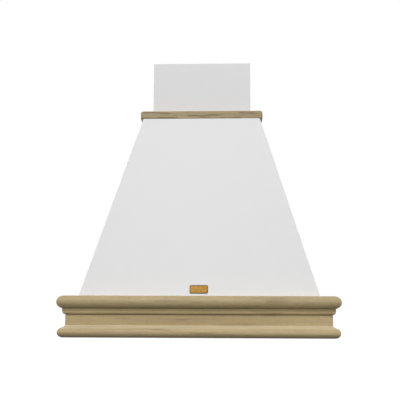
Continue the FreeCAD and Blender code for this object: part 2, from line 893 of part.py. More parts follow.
def make_supports():
    """Bearers between the rails, and the feet that stand on them."""
    x = volute_half + bearer_gap
    front = -rail_depth + rail_thickness
    rear = -rail_thickness
    low = bearer_top - bearer_size
    web = box((x, front, low), (x + bearer_sheet, rear, bearer_top))
    flange = box((x, front, bearer_top - bearer_sheet), (x + bearer_size, rear, bearer_top))
    ends = [
        box((x, front, low), (x + bearer_size, front + bearer_sheet, bearer_top)),
        box((x, rear - bearer_sheet, low), (x + bearer_size, rear, bearer_top)),
    ]
    holes = [bolt_hole(*place) for place in foot_bolts() + bearer_bolts()]
    bearer = cut_all(join(web, [flange] + ends), holes)
    near = blower_line - foot_length / 2
    far = blower_line + foot_length / 2
    upright = box((volute_half, near, bearer_top), (volute_half + bearer_sheet, far, bearer_top + foot_height))
    sole = box((volute_half, near, bearer_top), (x + bearer_size - bearer_sheet, far, bearer_top + bearer_sheet))
    foot = cut_all(join(upright, [sole]), holes)
    bolts = [bolt(*place) for place in foot_bolts() + bearer_bolts()]
    return {
        "blower_bearers": [bearer, mirrored(bearer)],
        "blower_feet": [foot, mirrored(foot)],
        "blower_bolts": bolts + [mirrored(one) for one in bolts],
    }


def make_blower():
    scroll = make_scroll()
    wheel, rings, shaft = make_wheel()
    nodes = {
        "scroll_half_right": scroll,
        "scroll_half_left": mirrored(scroll),
        "blower_wheel": wheel,
        "wheel_rings": rings,
        "motor_shaft": shaft,
    }
    nodes.update(make_motor())
    nodes.update(make_supports())
    return nodes


# ---- Outlet collar and non-return flaps ----

def make_outlet():
    middle = (0, duct_line)
    flange = box((-collar_flange, duct_line - collar_flange, outlet_height),
                 (collar_flange, duct_line + collar_flange, collar_low))
    spigot = bar(collar_radius, middle + (collar_low,), middle + (collar_low + collar_height,))
    bore = bar(collar_radius - collar_wall, middle + (collar_low,), middle + (collar_low + collar_height + 1,))
    throat = bar(collar_throat, middle + (outlet_height - 1,), middle + (collar_low + 1,))
    pins = []
    pin_holes = []
    flaps = {}
    reach = collar_radius - collar_wall - flap_edge_gap
    axis_height = collar_low + flap_gap + flap_barrel_radius
    for name, way in (("front", -1), ("rear", 1)):
        y = duct_line + way * flap_pin_spacing / 2
        ends = (-collar_radius, y, axis_height), (collar_radius, y, axis_height)
        pins.append(bar(flap_pin_radius, *ends).common(spigot))
        pin_holes.append(bar(flap_pin_radius + flap_pin_clearance, *ends))
        disc = bar(reach, middle + (collar_low + flap_gap,), middle + (collar_low + flap_gap + flap_thickness,))
        beyond = box((-collar_radius, min(y, y + way * collar_radius), collar_low),
                     (collar_radius, max(y, y + way * collar_radius), axis_height))
        half = flap_barrel_length / 2
        barrel = bar(flap_barrel_radius, (-half, y, axis_height), (half, y, axis_height))
        hole = bar(flap_pin_radius + flap_pin_clearance, *ends)
        flaps["damper_flap_" + name] = join(barrel, [disc.common(beyond)]).cut(hole)
    collar = join(flange, [spigot]).cut([bore, throat] + pin_holes)
    return {"outlet_collar": collar, "damper_pins": pins, **flaps}


# ---- Terminal box, gland and leads ----

def lead(points):
    """Round lead along straight runs joined by tangent arcs, each as large as its two runs allow."""
    corners = [vec(*point) for point in points]
    edges = []
    here = corners[0]
    for before, corner, after in zip(corners, corners[1:], corners[2:]):
        back = before.sub(corner)
        ahead = after.sub(corner)
        reach = 0.45 * min(back.Length, ahead.Length)
        start = corner.add(back.normalize() * reach)
        end = corner.add(ahead.normalize() * reach)
        turn = math.pi - back.getAngle(ahead)
        radius = reach / math.tan(turn / 2)
        inward = back.add(ahead).normalize()
        middle = corner.add(inward * (radius / math.cos(turn / 2) - radius))
        edges += [line(here, start), arc(start, middle, end)]
        here = end
    edges.append(line(here, corners[-1]))
    path = Part.Wire(edges)
    ring = Part.Wire(Part.Circle(corners[0], corners[1].sub(corners[0]), lead_radius).toShape())
    return path.makePipeShell([ring], True, False)


def make_leads():
    """Terminal box to motor and to switch box, and switch box to each lamp; the ends are square."""
    box_right = -terminal_from_centre
    box_middle = -rail_thickness - terminal_depth / 2
    box_front = -rail_thickness - terminal_depth
    motor_end = -motor_inner_end - motor_length
    switch_half = button_count * button_pitch / 2 + switch_box_wall
    switch_rear = control_line + switch_box_depth / 2
    lamp_side = lamp_spacing / 2 - lamp_radius
    to_motor = lead([
        (box_right, box_middle, terminal_low + 20),
        (box_right + lead_exit, box_middle, terminal_low + 20),
        (box_right + 24, box_middle - 20, terminal_low + 50),
        (box_right + 18, box_middle - 62, terminal_low + 92),
        (box_right + 4, blower_line + 40, blower_axis_height - 40),
        (motor_end - 26, blower_line + 8, blower_axis_height - 6),
        (motor_end - lead_exit, blower_line, blower_axis_height),
        (motor_end, blower_line, blower_axis_height),
    ])
    to_switches = lead([
        (box_right - 20, box_front, terminal_low + 10),
        (box_right - 20, box_front - lead_exit, terminal_low + 10),
        (box_right - 12, box_front - 70, terminal_low + 6),
        (box_right + 14, box_front - 148, terminal_low + 2),
        (-switch_half - 33, switch_rear + 86, terminal_low),
        (-switch_half + 7, switch_rear + 30, tray_top + 22),
        (-switch_half + 24, switch_rear + lead_exit, tray_top + 18),
        (-switch_half + 24, switch_rear, tray_top + 18),
    ])
    to_lamp = lead([
        (switch_half, control_line, tray_top + 20),
        (switch_half + lead_exit, control_line, tray_top + 20),
        ((switch_half + lamp_side) / 2, control_line - 9, tray_top + 22),
        (lamp_side - lead_exit, control_line, tray_top + 20),
        (lamp_side, control_line, tray_top + 20),
    ])
    return {"internal_leads": [to_motor, to_switches, to_lamp, mirrored(to_lamp)]}


def make_wiring():
    right = -terminal_from_centre
    left = right - terminal_width
    rear = -rail_thickness
    front = rear - terminal_depth
    high = terminal_low + terminal_height
    wall = terminal_wall
    shell = box((left, front, terminal_low), (right, rear, high))
    cavity = box((left + wall, front + wall, terminal_low + wall), (right - wall, rear - wall, high - wall))
    x = (left + right) / 2
    y = (front + rear) / 2
    top = high + gland_height
    thread = bar(gland_thread_radius, (x, y, high - 2 * wall), (x, y, high))
    nut = bar(gland_radius, (x, y, high), (x, y, top))
    nut = nut.makeChamfer(1.5, [edge for edge in nut.Edges if edge.BoundBox.ZMin > top - 0.01][:1])
    bore = bar(gland_bore, (x, y, high - 2 * wall - 1), (x, y, top + 1))
    thread_hole = bar(gland_thread_radius, (x, y, high - wall - 1), (x, y, high + 1))
    return {
        "terminal_box": shell.cut([cavity, thread_hole]),
        "cable_gland": join(nut, [thread]).cut(bore),
    }


def export(nodes):
    os.makedirs("parts", exist_ok=True)
    for name, shape in nodes.items():
        if isinstance(shape, list):
            shape = Part.makeCompound(shape)
        if not shape.isValid():
            print("not valid:", name)
        shape.exportStep("parts/%s.step" % name)
        print("%-22s %2d solid(s) %10.1f cm3" % (name, len(shape.Solids), shape.Volume / 1000))
    print(len(nodes), "nodes")


hood = {}
for make in (make_body, make_rails, make_mouldings, make_badge, make_chimney, make_tray, make_controls,
             make_lamps, make_filters, make_blower, make_outlet, make_wiring, make_leads):
    hood.update(make())
export(hood)
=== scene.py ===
import json
import math

import bmesh
import bpy
from mathutils import Matrix, Vector

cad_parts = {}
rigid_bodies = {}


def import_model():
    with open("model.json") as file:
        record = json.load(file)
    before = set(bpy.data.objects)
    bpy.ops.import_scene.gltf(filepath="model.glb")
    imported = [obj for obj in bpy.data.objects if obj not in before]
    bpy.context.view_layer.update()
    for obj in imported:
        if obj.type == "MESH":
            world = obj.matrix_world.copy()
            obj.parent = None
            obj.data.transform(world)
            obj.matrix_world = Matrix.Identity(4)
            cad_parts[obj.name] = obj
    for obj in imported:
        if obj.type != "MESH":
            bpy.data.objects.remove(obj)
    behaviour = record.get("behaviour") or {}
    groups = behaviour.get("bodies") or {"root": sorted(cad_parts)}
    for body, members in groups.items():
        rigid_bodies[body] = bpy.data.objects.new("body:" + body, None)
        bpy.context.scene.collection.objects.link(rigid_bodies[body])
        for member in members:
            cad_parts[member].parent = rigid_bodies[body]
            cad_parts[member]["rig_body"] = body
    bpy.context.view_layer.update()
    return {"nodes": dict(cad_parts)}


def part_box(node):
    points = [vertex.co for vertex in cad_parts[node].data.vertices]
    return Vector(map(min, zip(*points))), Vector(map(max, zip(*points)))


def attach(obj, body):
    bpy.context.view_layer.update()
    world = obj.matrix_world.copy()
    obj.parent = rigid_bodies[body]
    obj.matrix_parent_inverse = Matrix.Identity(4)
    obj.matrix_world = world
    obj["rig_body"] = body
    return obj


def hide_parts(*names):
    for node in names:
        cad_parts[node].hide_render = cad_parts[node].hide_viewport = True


# The looks of a wall hood: painted boards, raw oak mouldings, and metal and plastic parts inside.
# Metres. X runs to the right, the wall is the plane Y = 0 and the front faces -Y.

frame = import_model()
NODES = frame["nodes"]

# ---- Tolerances ----
SAME_POINT = 1e-6
ON_FACE = 1e-5
NEAR = 1e-4

# ---- Camera, as fitted to the edges of the photograph ----
CAMERA_PLACE = Vector((0.0588, -2.0998, 0.0606))
CAMERA_PITCH = math.radians(9.355)
CAMERA_YAW = math.radians(1.966)
CAMERA_ROLL = math.radians(0.206)
CAMERA_SENSOR = 36.0
CAMERA_LENS = 61.11

# ---- Mouldings, beyond what the frame gives ----
OVOLO_RADIUS = 0.006
OVOLO_LEAN = math.radians(9)
OVOLO_BELOW_BEAD = 0.014
BAND_PROJECTION = 0.0253
BAND_BOTTOM = 0.029
BULLNOSE_RADIUS = 0.012
BULLNOSE_TURN = math.radians(80)
SLOPE_HOLLOW = 0.0003
CAP_OVERHANG = 0.008
CAP_ROUND = 0.0075
CAP_LOWER_ROUND = 0.0015
SLEEVE_CLEARANCE = 0.0015
MOULDING_CORNER = 0.0035
CAP_CORNER = 0.007
CORNER_STEPS = 6
ARC_STEPS = 16
OVOLO_STEPS = 8
SLOPE_FOOT_ROUND = 0.001
MITRE_GROOVE = 0.00025
MITRE_END_CORNERS = 8
MITRE_LEAST_ANGLE = 0.6
WALL_MARGIN = 0.001

# ---- Painted boards ----
BOARD_CORNER = 0.0012
BOARD_ARRIS = 0.0006
PAINTED_TURN = 0.3

# ---- Filters ----
MESH_WIDTH = 0.012
MESH_HEIGHT = 0.0065
MESH_STRAND = 0.30
MESH_SHEET = 0.0005
MESH_RIPPLE = 0.0005
FRAME_LIP = 0.0006
FRAME_ARRIS = 0.0007
CORE_SHARE = 0.3

# ---- Badge plate ----
BADGE_RIM = 0.0016
BADGE_SINK = 0.00035
BADGE_SHARP = math.radians(20)

# ---- Push buttons ----
# The face is (share of the radius, share of the dish's depth), the edge (share, rise).
BUTTONS = 5
BUTTON_DISH = 0.0006
BUTTON_FACE = ((0.0, 1.0), (0.35, 0.85), (0.62, 0.45), (0.80, 0.08), (0.88, 0.0))
BUTTON_EDGE = ((0.95, 0.0002), (0.985, 0.0006), (1.0, 0.0012))
BUTTON_FACE_LEVEL = 0.006
BUTTON_FLANGE_FROM = 1.05
BUTTON_FLANGE = 0.002
BUTTON_LEAST_STEM = 0.003
BUTTON_STEPS = 40
BUTTON_SHARP = math.radians(40)

# ---- Screws ----
# The head is (share of its radius, share of its height), from its underside up.
SCREW_STEPS = 24
SCREW_HEAD_FROM = 0.95
SCREW_SHANK_FROM = 0.2
SCREW_HEAD = ((1.0, 0.0), (1.0, 0.35), (0.95, 0.66), (0.82, 0.88), (0.62, 1.0))
SCREW_POINT = 0.3
SCREW_POINT_LENGTH = 1.5
SCREW_RECESS = (0.48, 0.13)
SCREW_RECESS_FLOOR = (0.55, 0.7, 0.35)
SCREW_SHARP = math.radians(30)

# ---- Lamp lenses, with (share of the radius, rise) over their face, and housings ----
LENS_RINGS = 9
LENS_RING_FROM = 0.2
LENS_RING_WIDTH = 0.55
LENS_RING_DEPTH = 0.0007
LENS_CENTRE_DEPTH = 0.0005
LENS_EDGE_DEPTH = 0.0006
LENS_FACE = ((0.0, 0.0002), (0.7, 0.0001), (1.0, 0.0004))
LENS_STEPS = 64
LENS_SHARP = math.radians(25)
REFLECTOR_ABOVE_FLANGE = 0.002
REFLECTOR_BELOW_ROOF = 0.0005
REFLECTOR_TURN = 0.5


# ---- Mesh making ----

def loft(loops):
    """Closed mesh through loops with as many points each."""
    mesh = bmesh.new()
    rings = [[mesh.verts.new(point) for point in loop] for loop in loops]
    for low, high in zip(rings, rings[1:]):
        for here in range(len(low)):
            after = (here + 1) % len(low)
            mesh.faces.new((low[here], low[after], high[after], high[here]))
    mesh.faces.new(tuple(reversed(rings[0])))
    mesh.faces.new(tuple(rings[-1]))
    bmesh.ops.remove_doubles(mesh, verts=mesh.verts, dist=SAME_POINT)
    bmesh.ops.recalc_face_normals(mesh, faces=mesh.faces)
    return mesh


def filleted(corners, step=math.radians(9)):
    """Points of a flat outline from (across, up, radius) corners, rounded as they say."""
    points = []
    count = len(corners)
    for here in range(count):
        before = Vector(corners[here - 1][:2])
        corner = Vector(corners[here][:2])
        after = Vector(corners[(here + 1) % count][:2])
        radius = corners[here][2]
        if radius <= 0:
            points.append(tuple(corner))
            continue
        back = (before - corner).normalized()
        ahead = (after - corner).normalized()
        half = back.angle(ahead) / 2
        reach = radius / math.tan(half)
        centre = corner + (back + ahead).normalized() * (radius / math.sin(half))
        start = corner + back * reach - centre
        turn = math.pi - 2 * half
        if back.x * ahead.y - back.y * ahead.x > 0:
            turn = -turn
        steps = max(1, math.ceil(abs(turn) / step))
        for number in range(steps + 1):
            angle = turn * number / steps
            points.append((
                centre.x + start.x * math.cos(angle) - start.y * math.sin(angle),
                centre.y + start.x * math.sin(angle) + start.y * math.cos(angle)))
    return points


def turned(profile, place, axis, steps=48):
    """Mesh turned round an axis from (radius, height) points."""
    turn = Vector((0, 0, 1)).rotation_difference(Vector(axis)).to_matrix()
    mesh = bmesh.new()
    rings = []
    for radius, height in profile:
        ring = []
        for number in range(steps):
            angle = 2 * math.pi * number / steps
            point = Vector((radius * math.cos(angle), radius * math.sin(angle), height))
            ring.append(mesh.verts.new(Vector(place) + turn @ point))
        rings.append(ring)
    for low, high in zip(rings, rings[1:]):
        for here in range(steps):
            after = (here + 1) % steps
            mesh.faces.new((low[here], low[after], high[after], high[here]))
    for ring in (rings[0], rings[-1]):
        mesh.faces.new(ring)
    bmesh.ops.remove_doubles(mesh, verts=mesh.verts, dist=SAME_POINT)
    bmesh.ops.recalc_face_normals(mesh, faces=mesh.faces)
    return mesh


def cad_copy(node):
    """A CAD node's mesh with its flat facets joined."""
    mesh = bmesh.new()
    mesh.from_mesh(NODES[node].data)
    bmesh.ops.remove_doubles(mesh, verts=mesh.verts, dist=SAME_POINT)
    bmesh.ops.dissolve_limit(
        mesh, angle_limit=math.radians(0.5), verts=mesh.verts[:], edges=mesh.edges[:])
    return mesh


def round_edges(mesh, radius, least=math.radians(35), segments=2):
    """Rounds the mesh's sharp outer edges."""
    edges = [
        edge for edge in mesh.edges
        if len(edge.link_faces) == 2 and edge.calc_face_angle_signed(0) > least
    ]
    bmesh.ops.bevel(
        mesh, geom=edges, offset=radius, segments=segments, profile=0.5, affect="EDGES",
        clamp_overlap=True)
    return mesh


def piece(name, mesh, materials, node, sharp=math.radians(32)):
    """Makes an object of the mesh that stands for a CAD node and rides with it."""
    data = bpy.data.meshes.new(name)
    mesh.to_mesh(data)
    mesh.free()
    for one in materials:
        data.materials.append(one)
    data.polygons.foreach_set("use_smooth", [True] * len(data.polygons))
    data.set_sharp_from_angle(angle=sharp)
    made = bpy.data.objects.new(name, data)
    bpy.context.scene.collection.objects.link(made)
    weights = made.modifiers.new("even_normals", "WEIGHTED_NORMAL")
    weights.keep_sharp = True
    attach(made, NODES[node]["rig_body"])
    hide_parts(node)
    return made


def dress(material, *names):
    """Gives CAD nodes a material."""
    for name in names:
        for place in NODES[name].material_slots:
            place.material = material


# ---- Materials ----

class Shader:
    """A material's node tree, from its surface shader outwards."""

    def __init__(self, name, **values):
        self.material = bpy.data.materials.new(name)
        self.material.use_nodes = True
        self.tree = self.material.node_tree
        self.tree.nodes.clear()
        self.output = self.tree.nodes.new("ShaderNodeOutputMaterial")
        self.surface = self.tree.nodes.new("ShaderNodeBsdfPrincipled")
        self.tree.links.new(self.surface.outputs[0], self.output.inputs[0])
        for socket, value in values.items():
            self.set(self.surface, socket.replace("_", " "), value)

    def set(self, node, socket, value):
        if isinstance(value, bpy.types.NodeSocket):
            self.tree.links.new(value, node.inputs[socket])
        else:
            node.inputs[socket].default_value = value

    def add(self, kind, settings=None, **values):
        """Adds a node. Values go to sockets by name, or by number as i0, i1 and so on."""
        node = self.tree.nodes.new("ShaderNode" + kind)
        for name, value in (settings or {}).items():
            setattr(node, name, value)
        for socket, value in values.items():
            known = int(socket[1:]) if socket[1:].isdigit() else socket.replace("_", " ")
            self.set(node, known, value)
        return node

    def place(self, order="XYZ", offset=(0, 0, 0)):
        """Object coordinates in another order of axes, with the first along the grain."""
        coordinates = self.add("TexCoord").outputs["Object"]
        parts = self.add("SeparateXYZ", Vector=coordinates).outputs
        joined = self.add("CombineXYZ", X=parts[order[0]], Y=parts[order[1]], Z=parts[order[2]])
        moved = self.add("VectorMath", {"operation": "ADD"}, i0=joined.outputs[0], i1=offset)
        return moved.outputs[0]

    def noise(self, vector, scale, detail=2.0, roughness=0.5, distortion=0.0):
        """Noise at its own scale along each axis, in cycles for each metre."""
        scaled = self.add("VectorMath", {"operation": "MULTIPLY"}, i0=vector, i1=scale).outputs[0]
        return self.add(
            "TexNoise", Vector=scaled, Scale=1.0, Detail=detail, Roughness=roughness,
            Distortion=distortion).outputs[0]

    def ramp(self, value, low, high, start=0.0, end=1.0):
        """Straight change from start to end while the value goes from low to high."""
        return self.add(
            "MapRange", {"clamp": True}, Value=value, From_Min=low, From_Max=high, To_Min=start,
            To_Max=end).outputs[0]

    def math(self, operation, first, second=0.0):
        return self.add("Math", {"operation": operation}, i0=first, i1=second).outputs[0]

    def mix(self, factor, first, second):
        """Colour mix."""
        node = self.add("Mix", {"data_type": "RGBA"})
        self.set(node, 0, factor)
        self.set(node, 6, first)
        self.set(node, 7, second)
        return node.outputs[2]

    def bump(self, height, depth, strength=1.0):
        node = self.add("Bump", Height=height, Distance=depth, Strength=strength)
        self.set(self.surface, "Normal", node.outputs[0])

    def colour(self, value):
        self.set(self.surface, "Base Color", value)

    def rough(self, value):
        self.set(self.surface, "Roughness", value)


def rgb(red, green, blue):
    return (red, green, blue, 1.0)


def darker(colour, share):
    return tuple(share * part for part in colour[:3]) + (1.0,)


# Scales of the wood's noises, in cycles for each metre: along the grain and, twice, across it.
RING_FIELD = (1.3, 11.0, 11.0)
RING_WAVER = (7.0, 120.0, 120.0)
WOOD_FIBRE = (16.0, 520.0, 520.0)
WOOD_PATCH = (3.0, 24.0, 24.0)
WOOD_PORE = (70.0, 1500.0, 1500.0)

# How far each of them pulls the colour towards the darker one.
LATE_WOOD_SHARE = 0.42
FIBRE_SHARE = 0.30
PORE_SHARE = 0.45

OAK_LIGHT = rgb(0.580, 0.455, 0.240)
OAK_DARK = rgb(0.455, 0.345, 0.176)
OAK_STREAK = rgb(0.215, 0.150, 0.072)
# Paler oak laid on the frieze's slope: painted light, where light from above falls on it.
OAK_PAINTED_LIGHT = rgb(0.750, 0.650, 0.455)
# Darker oak laid in creases and under the nose: painted shade.
OAK_PAINTED_SHADE = rgb(0.170, 0.120, 0.060)
PINE_LIGHT = rgb(0.700, 0.540, 0.330)
PINE_DARK = rgb(0.580, 0.400, 0.205)
PINE_STREAK = rgb(0.380, 0.220, 0.095)
TINT_EDGE = 0.0008

# Oak of the three mouldings. The frieze's tone is set lighter than the bead's as painted light, to
# offset the shade the bead throws on it.
BEAD_LOOKS = dict(tone=0.895, streaks=0.42, streak_from=0.560, streak_scale=(11.0, 160.0, 160.0))
FRIEZE_LOOKS = dict(tone=1.03, streaks=0.5, streak_scale=(8.0, 120.0, 120.0))
CAP_LOOKS = dict(
    tone=0.78, streaks=1.0, streak_from=0.52, streak_soft=0.07, streak_scale=(16.0, 150.0, 150.0))


def wood(name, order, offset, light, dark, streak, pore_depth=0.00012, rings=15.0, streaks=0.6,
         streak_from=0.585, streak_soft=0.12, streak_scale=(5.5, 95.0, 95.0), tinted=()):
    """Sawn wood: growth rings, fibres, pores and darker streaks along the first axis of the order.

    tinted gives (low, high, amount, colour) for each level between two heights that is paler or
    darker, which is painted light or painted shade in the colour.
    """
    shader = Shader(name, Specular_IOR_Level=0.5, Sheen_Weight=0.06, Sheen_Roughness=0.4)
    place = shader.place(order, offset)
    field = shader.noise(place, RING_FIELD, detail=2.0, distortion=0.25)
    waver = shader.noise(place, RING_WAVER, detail=2.0)
    count = shader.math(
        "ADD", shader.math("MULTIPLY", field, rings), shader.math("MULTIPLY", waver, 0.5))
    ring = shader.math("FRACT", count)
    late = shader.math("MULTIPLY", shader.ramp(ring, 0.45, 0.92), shader.ramp(ring, 1.0, 0.93))
    fibre = shader.noise(place, WOOD_FIBRE, detail=3.0, roughness=0.6)
    patch = shader.noise(place, WOOD_PATCH, detail=2.0)
    pore = shader.ramp(shader.noise(place, WOOD_PORE, detail=1.0), 0.60, 0.70)
    streak_field = shader.noise(place, streak_scale, detail=3.0, roughness=0.55)
    streak_mask = shader.math(
        "MULTIPLY", shader.ramp(streak_field, streak_from, streak_from + streak_soft), streaks)
    tone = shader.mix(shader.ramp(patch, 0.36, 0.66), light, dark)
    tone = shader.mix(shader.math("MULTIPLY", late, LATE_WOOD_SHARE), tone, dark)
    tone = shader.mix(shader.ramp(fibre, 0.35, 0.75, 0.0, FIBRE_SHARE), tone, dark)
    tone = shader.mix(streak_mask, tone, streak)
    tone = shader.mix(shader.math("MULTIPLY", pore, PORE_SHARE), tone, streak)
    height = shader.add("SeparateXYZ", Vector=shader.place()).outputs["Z"] if tinted else None
    for low, high, amount, colour in tinted:
        inside = shader.math(
            "MULTIPLY", shader.ramp(height, low - TINT_EDGE, low + TINT_EDGE),
            shader.ramp(height, high + TINT_EDGE, high - TINT_EDGE, 0.0, amount))
        tone = shader.mix(inside, tone, colour)
    shader.colour(tone)
    shader.rough(shader.ramp(fibre, 0.3, 0.7, 0.48, 0.62))
    relief = shader.math("SUBTRACT", shader.math("MULTIPLY", fibre, 0.5), pore)
    shader.bump(relief, pore_depth, 0.6)
    return shader.material


def oak(name, order, offset, tone=1.0, **looks):
    """Oak with its two main colours scaled by the tone."""
    light, dark = (rgb(*(part * tone for part in colour[:3])) for colour in (OAK_LIGHT, OAK_DARK))
    return wood(name, order, offset, light, dark, OAK_STREAK, **looks)


def pine(name, order, offset):
    return wood(
        name, order, offset, PINE_LIGHT, PINE_DARK, PINE_STREAK, pore_depth=0.00006, rings=22.0,
        streaks=0.15)


def painted():
    """Satin paint, sprayed on board: even, with a faint orange peel."""
    shader = Shader("painted_board", Specular_IOR_Level=0.3)
    place = shader.place()
    cloud = shader.noise(place, (3.0, 3.0, 3.0), detail=2.0)
    shader.colour(shader.mix(cloud, rgb(0.860, 0.860, 0.865), rgb(0.842, 0.843, 0.850)))
    peel = shader.noise(place, (380.0, 380.0, 380.0), detail=2.0)
    shader.rough(shader.ramp(shader.noise(place, (40.0, 40.0, 40.0)), 0.3, 0.7, 0.47, 0.54))
    shader.bump(peel, 0.00008, 0.25)
    return shader.material


def raw_board():
    """Fibreboard left bare on the inside."""
    shader = Shader("raw_board", Roughness=0.85, Specular_IOR_Level=0.15)
    place = shader.place()
    speck = shader.noise(place, (900.0, 900.0, 900.0), detail=3.0, roughness=0.7)
    cloud = shader.noise(place, (14.0, 14.0, 14.0), detail=3.0)
    tone = shader.mix(cloud, rgb(0.500, 0.365, 0.225), rgb(0.445, 0.320, 0.195))
    specks = shader.ramp(speck, 0.45, 0.75, 0.0, 0.45)
    shader.colour(shader.mix(specks, tone, rgb(0.250, 0.165, 0.090)))
    shader.bump(speck, 0.0001, 0.4)
    return shader.material


def brushed(name, order, colour, roughness):
    """Metal sheet brushed along the first axis of the order."""
    shader = Shader(name, Metallic=1.0)
    place = shader.place(order)
    lines = shader.noise(place, (9.0, 2600.0, 2600.0), detail=2.0, roughness=0.7)
    smear = shader.noise(place, (6.0, 18.0, 18.0), detail=3.0)
    shader.colour(shader.mix(shader.ramp(lines, 0.3, 0.7), colour, darker(colour, 0.82)))
    both = shader.math(
        "ADD", shader.math("MULTIPLY", lines, 0.5), shader.math("MULTIPLY", smear, 0.5))
    shader.rough(shader.ramp(both, 0.3, 0.7, roughness - 0.07, roughness + 0.09))
    shader.bump(lines, 0.00003, 0.5)
    return shader.material


def galvanised():
    """Hot-dip zinc with its spangle."""
    shader = Shader("galvanised", Metallic=0.92)
    place = shader.place()
    cell = shader.add("TexVoronoi", {"feature": "F1"}, Vector=place, Scale=120.0)
    shade = shader.add("SeparateColor", Color=cell.outputs["Color"]).outputs[0]
    grain = shader.noise(place, (260.0, 260.0, 260.0), detail=2.0)
    tone = shader.mix(shade, rgb(0.500, 0.525, 0.545), rgb(0.640, 0.660, 0.680))
    shader.colour(shader.mix(shader.math("MULTIPLY", grain, 0.3), tone, rgb(0.42, 0.44, 0.46)))
    shader.rough(shader.ramp(shade, 0.0, 1.0, 0.34, 0.54))
    shader.bump(shade, 0.00002, 0.3)
    return shader.material


def mesh_core():
    """Layers of crumpled mesh deep in a filter, near black between the wires as painted shade of
    the layers below.
    """
    shader = Shader("filter_core", Metallic=0.9)
    place = shader.place()
    cell = shader.add("TexVoronoi", {"feature": "DISTANCE_TO_EDGE"}, Vector=place, Scale=260.0)
    wire = shader.ramp(cell.outputs["Distance"], 0.05, 0.22, 1.0, 0.0)
    shader.colour(shader.mix(wire, rgb(0.06, 0.06, 0.065), rgb(0.52, 0.53, 0.55)))
    shader.rough(0.45)
    shader.bump(wire, 0.0006, 0.8)
    return shader.material


# Even surfaces: colour, roughness and metallic share.
EVEN = {
    "brass_rim": (rgb(0.090, 0.050, 0.012), 0.50, 0.55),
    "woven_aluminium": (rgb(0.66, 0.67, 0.68), 0.36, 1.0),
    "button_satin": (rgb(0.62, 0.62, 0.63), 0.30, 0.7),
    "motor_paint": (rgb(0.06, 0.06, 0.065), 0.38, 0.0),
    "reflector": (rgb(0.88, 0.88, 0.88), 0.22, 0.85),
    "zinc_plate": (rgb(0.62, 0.63, 0.64), 0.33, 1.0),
    "black_plastic": (rgb(0.030, 0.030, 0.032), 0.45, 0.0),
    "grey_plastic": (rgb(0.32, 0.33, 0.34), 0.50, 0.0),
    "lead_sheath": (rgb(0.55, 0.55, 0.54), 0.48, 0.0),
}


def even(name):
    """Even moulded, cast or plated surface with a fine grain."""
    colour, roughness, metallic = EVEN[name]
    shader = Shader(name, Metallic=metallic)
    place = shader.place()
    fine = shader.noise(place, (900.0, 900.0, 900.0), detail=2.0)
    cloud = shader.noise(place, (25.0, 25.0, 25.0), detail=2.0)
    shader.colour(
        shader.mix(shader.ramp(cloud, 0.35, 0.7, 0.0, 0.6), colour, darker(colour, 0.80)))
    shader.rough(shader.ramp(cloud, 0.3, 0.7, roughness - 0.05, roughness + 0.06))
    shader.bump(fine, 0.00003, 0.5)
    return shader.material


def stippled_brass():
    """Brass plate with a fine stippled ground, dull in the hollows."""
    shader = Shader("brass_field", Metallic=0.55)
    place = shader.place()
    stipple = shader.noise(place, (520.0, 520.0, 520.0), detail=2.0, roughness=0.6)
    cloud = shader.noise(place, (90.0, 90.0, 90.0), detail=2.0)
    dull = shader.math(
        "MULTIPLY", shader.ramp(stipple, 0.60, 0.38), shader.ramp(cloud, 0.3, 0.6, 0.5, 1.0))
    shader.colour(shader.mix(dull, rgb(0.350, 0.190, 0.024), rgb(0.205, 0.095, 0.008)))
    shader.rough(shader.ramp(dull, 0.0, 1.0, 0.50, 0.66))
    shader.bump(stipple, 0.00012, 0.6)
    return shader.material


def frosted_glass():
    """Frosted glass with a faint ripple."""
    shader = Shader(
        "lamp_glass", Base_Color=rgb(0.90, 0.91, 0.90), Roughness=0.30, IOR=1.5,
        Transmission_Weight=0.75)
    place = shader.place()
    shader.bump(shader.noise(place, (700.0, 700.0, 700.0)), 0.00005, 0.4)
    return shader.material


# ---- Scene: camera, lamps, world and floor ----
FLOOR_HEIGHT = -0.65
FLOOR_RADIUS = 40.0
FLOOR_COLOUR = rgb(0.16, 0.16, 0.16)
FLOOR_GLOW = 0.90
FLOOR_GLOW_FROM = 1.8
FLOOR_GLOW_TO = 4.5
WORLD_TOP = 0.33
WORLD_HORIZON = 0.24
LAMP_TARGET = (0.0, -0.30, 0.30)

# Lamps: place, width and power. All of them point at the target.
LAMPS = {
    "key": ((-0.35, -3.50, 3.0), 2.8, 103.0),
    "fill": ((0.5, -2.1, 0.9), 1.2, 4.0),
    "right": ((2.9, 0.7, 1.9), 2.0, 22.0),
    "left": ((-2.9, 0.7, 1.9), 2.0, 22.0),
    "rear": ((0.6, 3.0, 1.6), 2.0, 22.0),
}


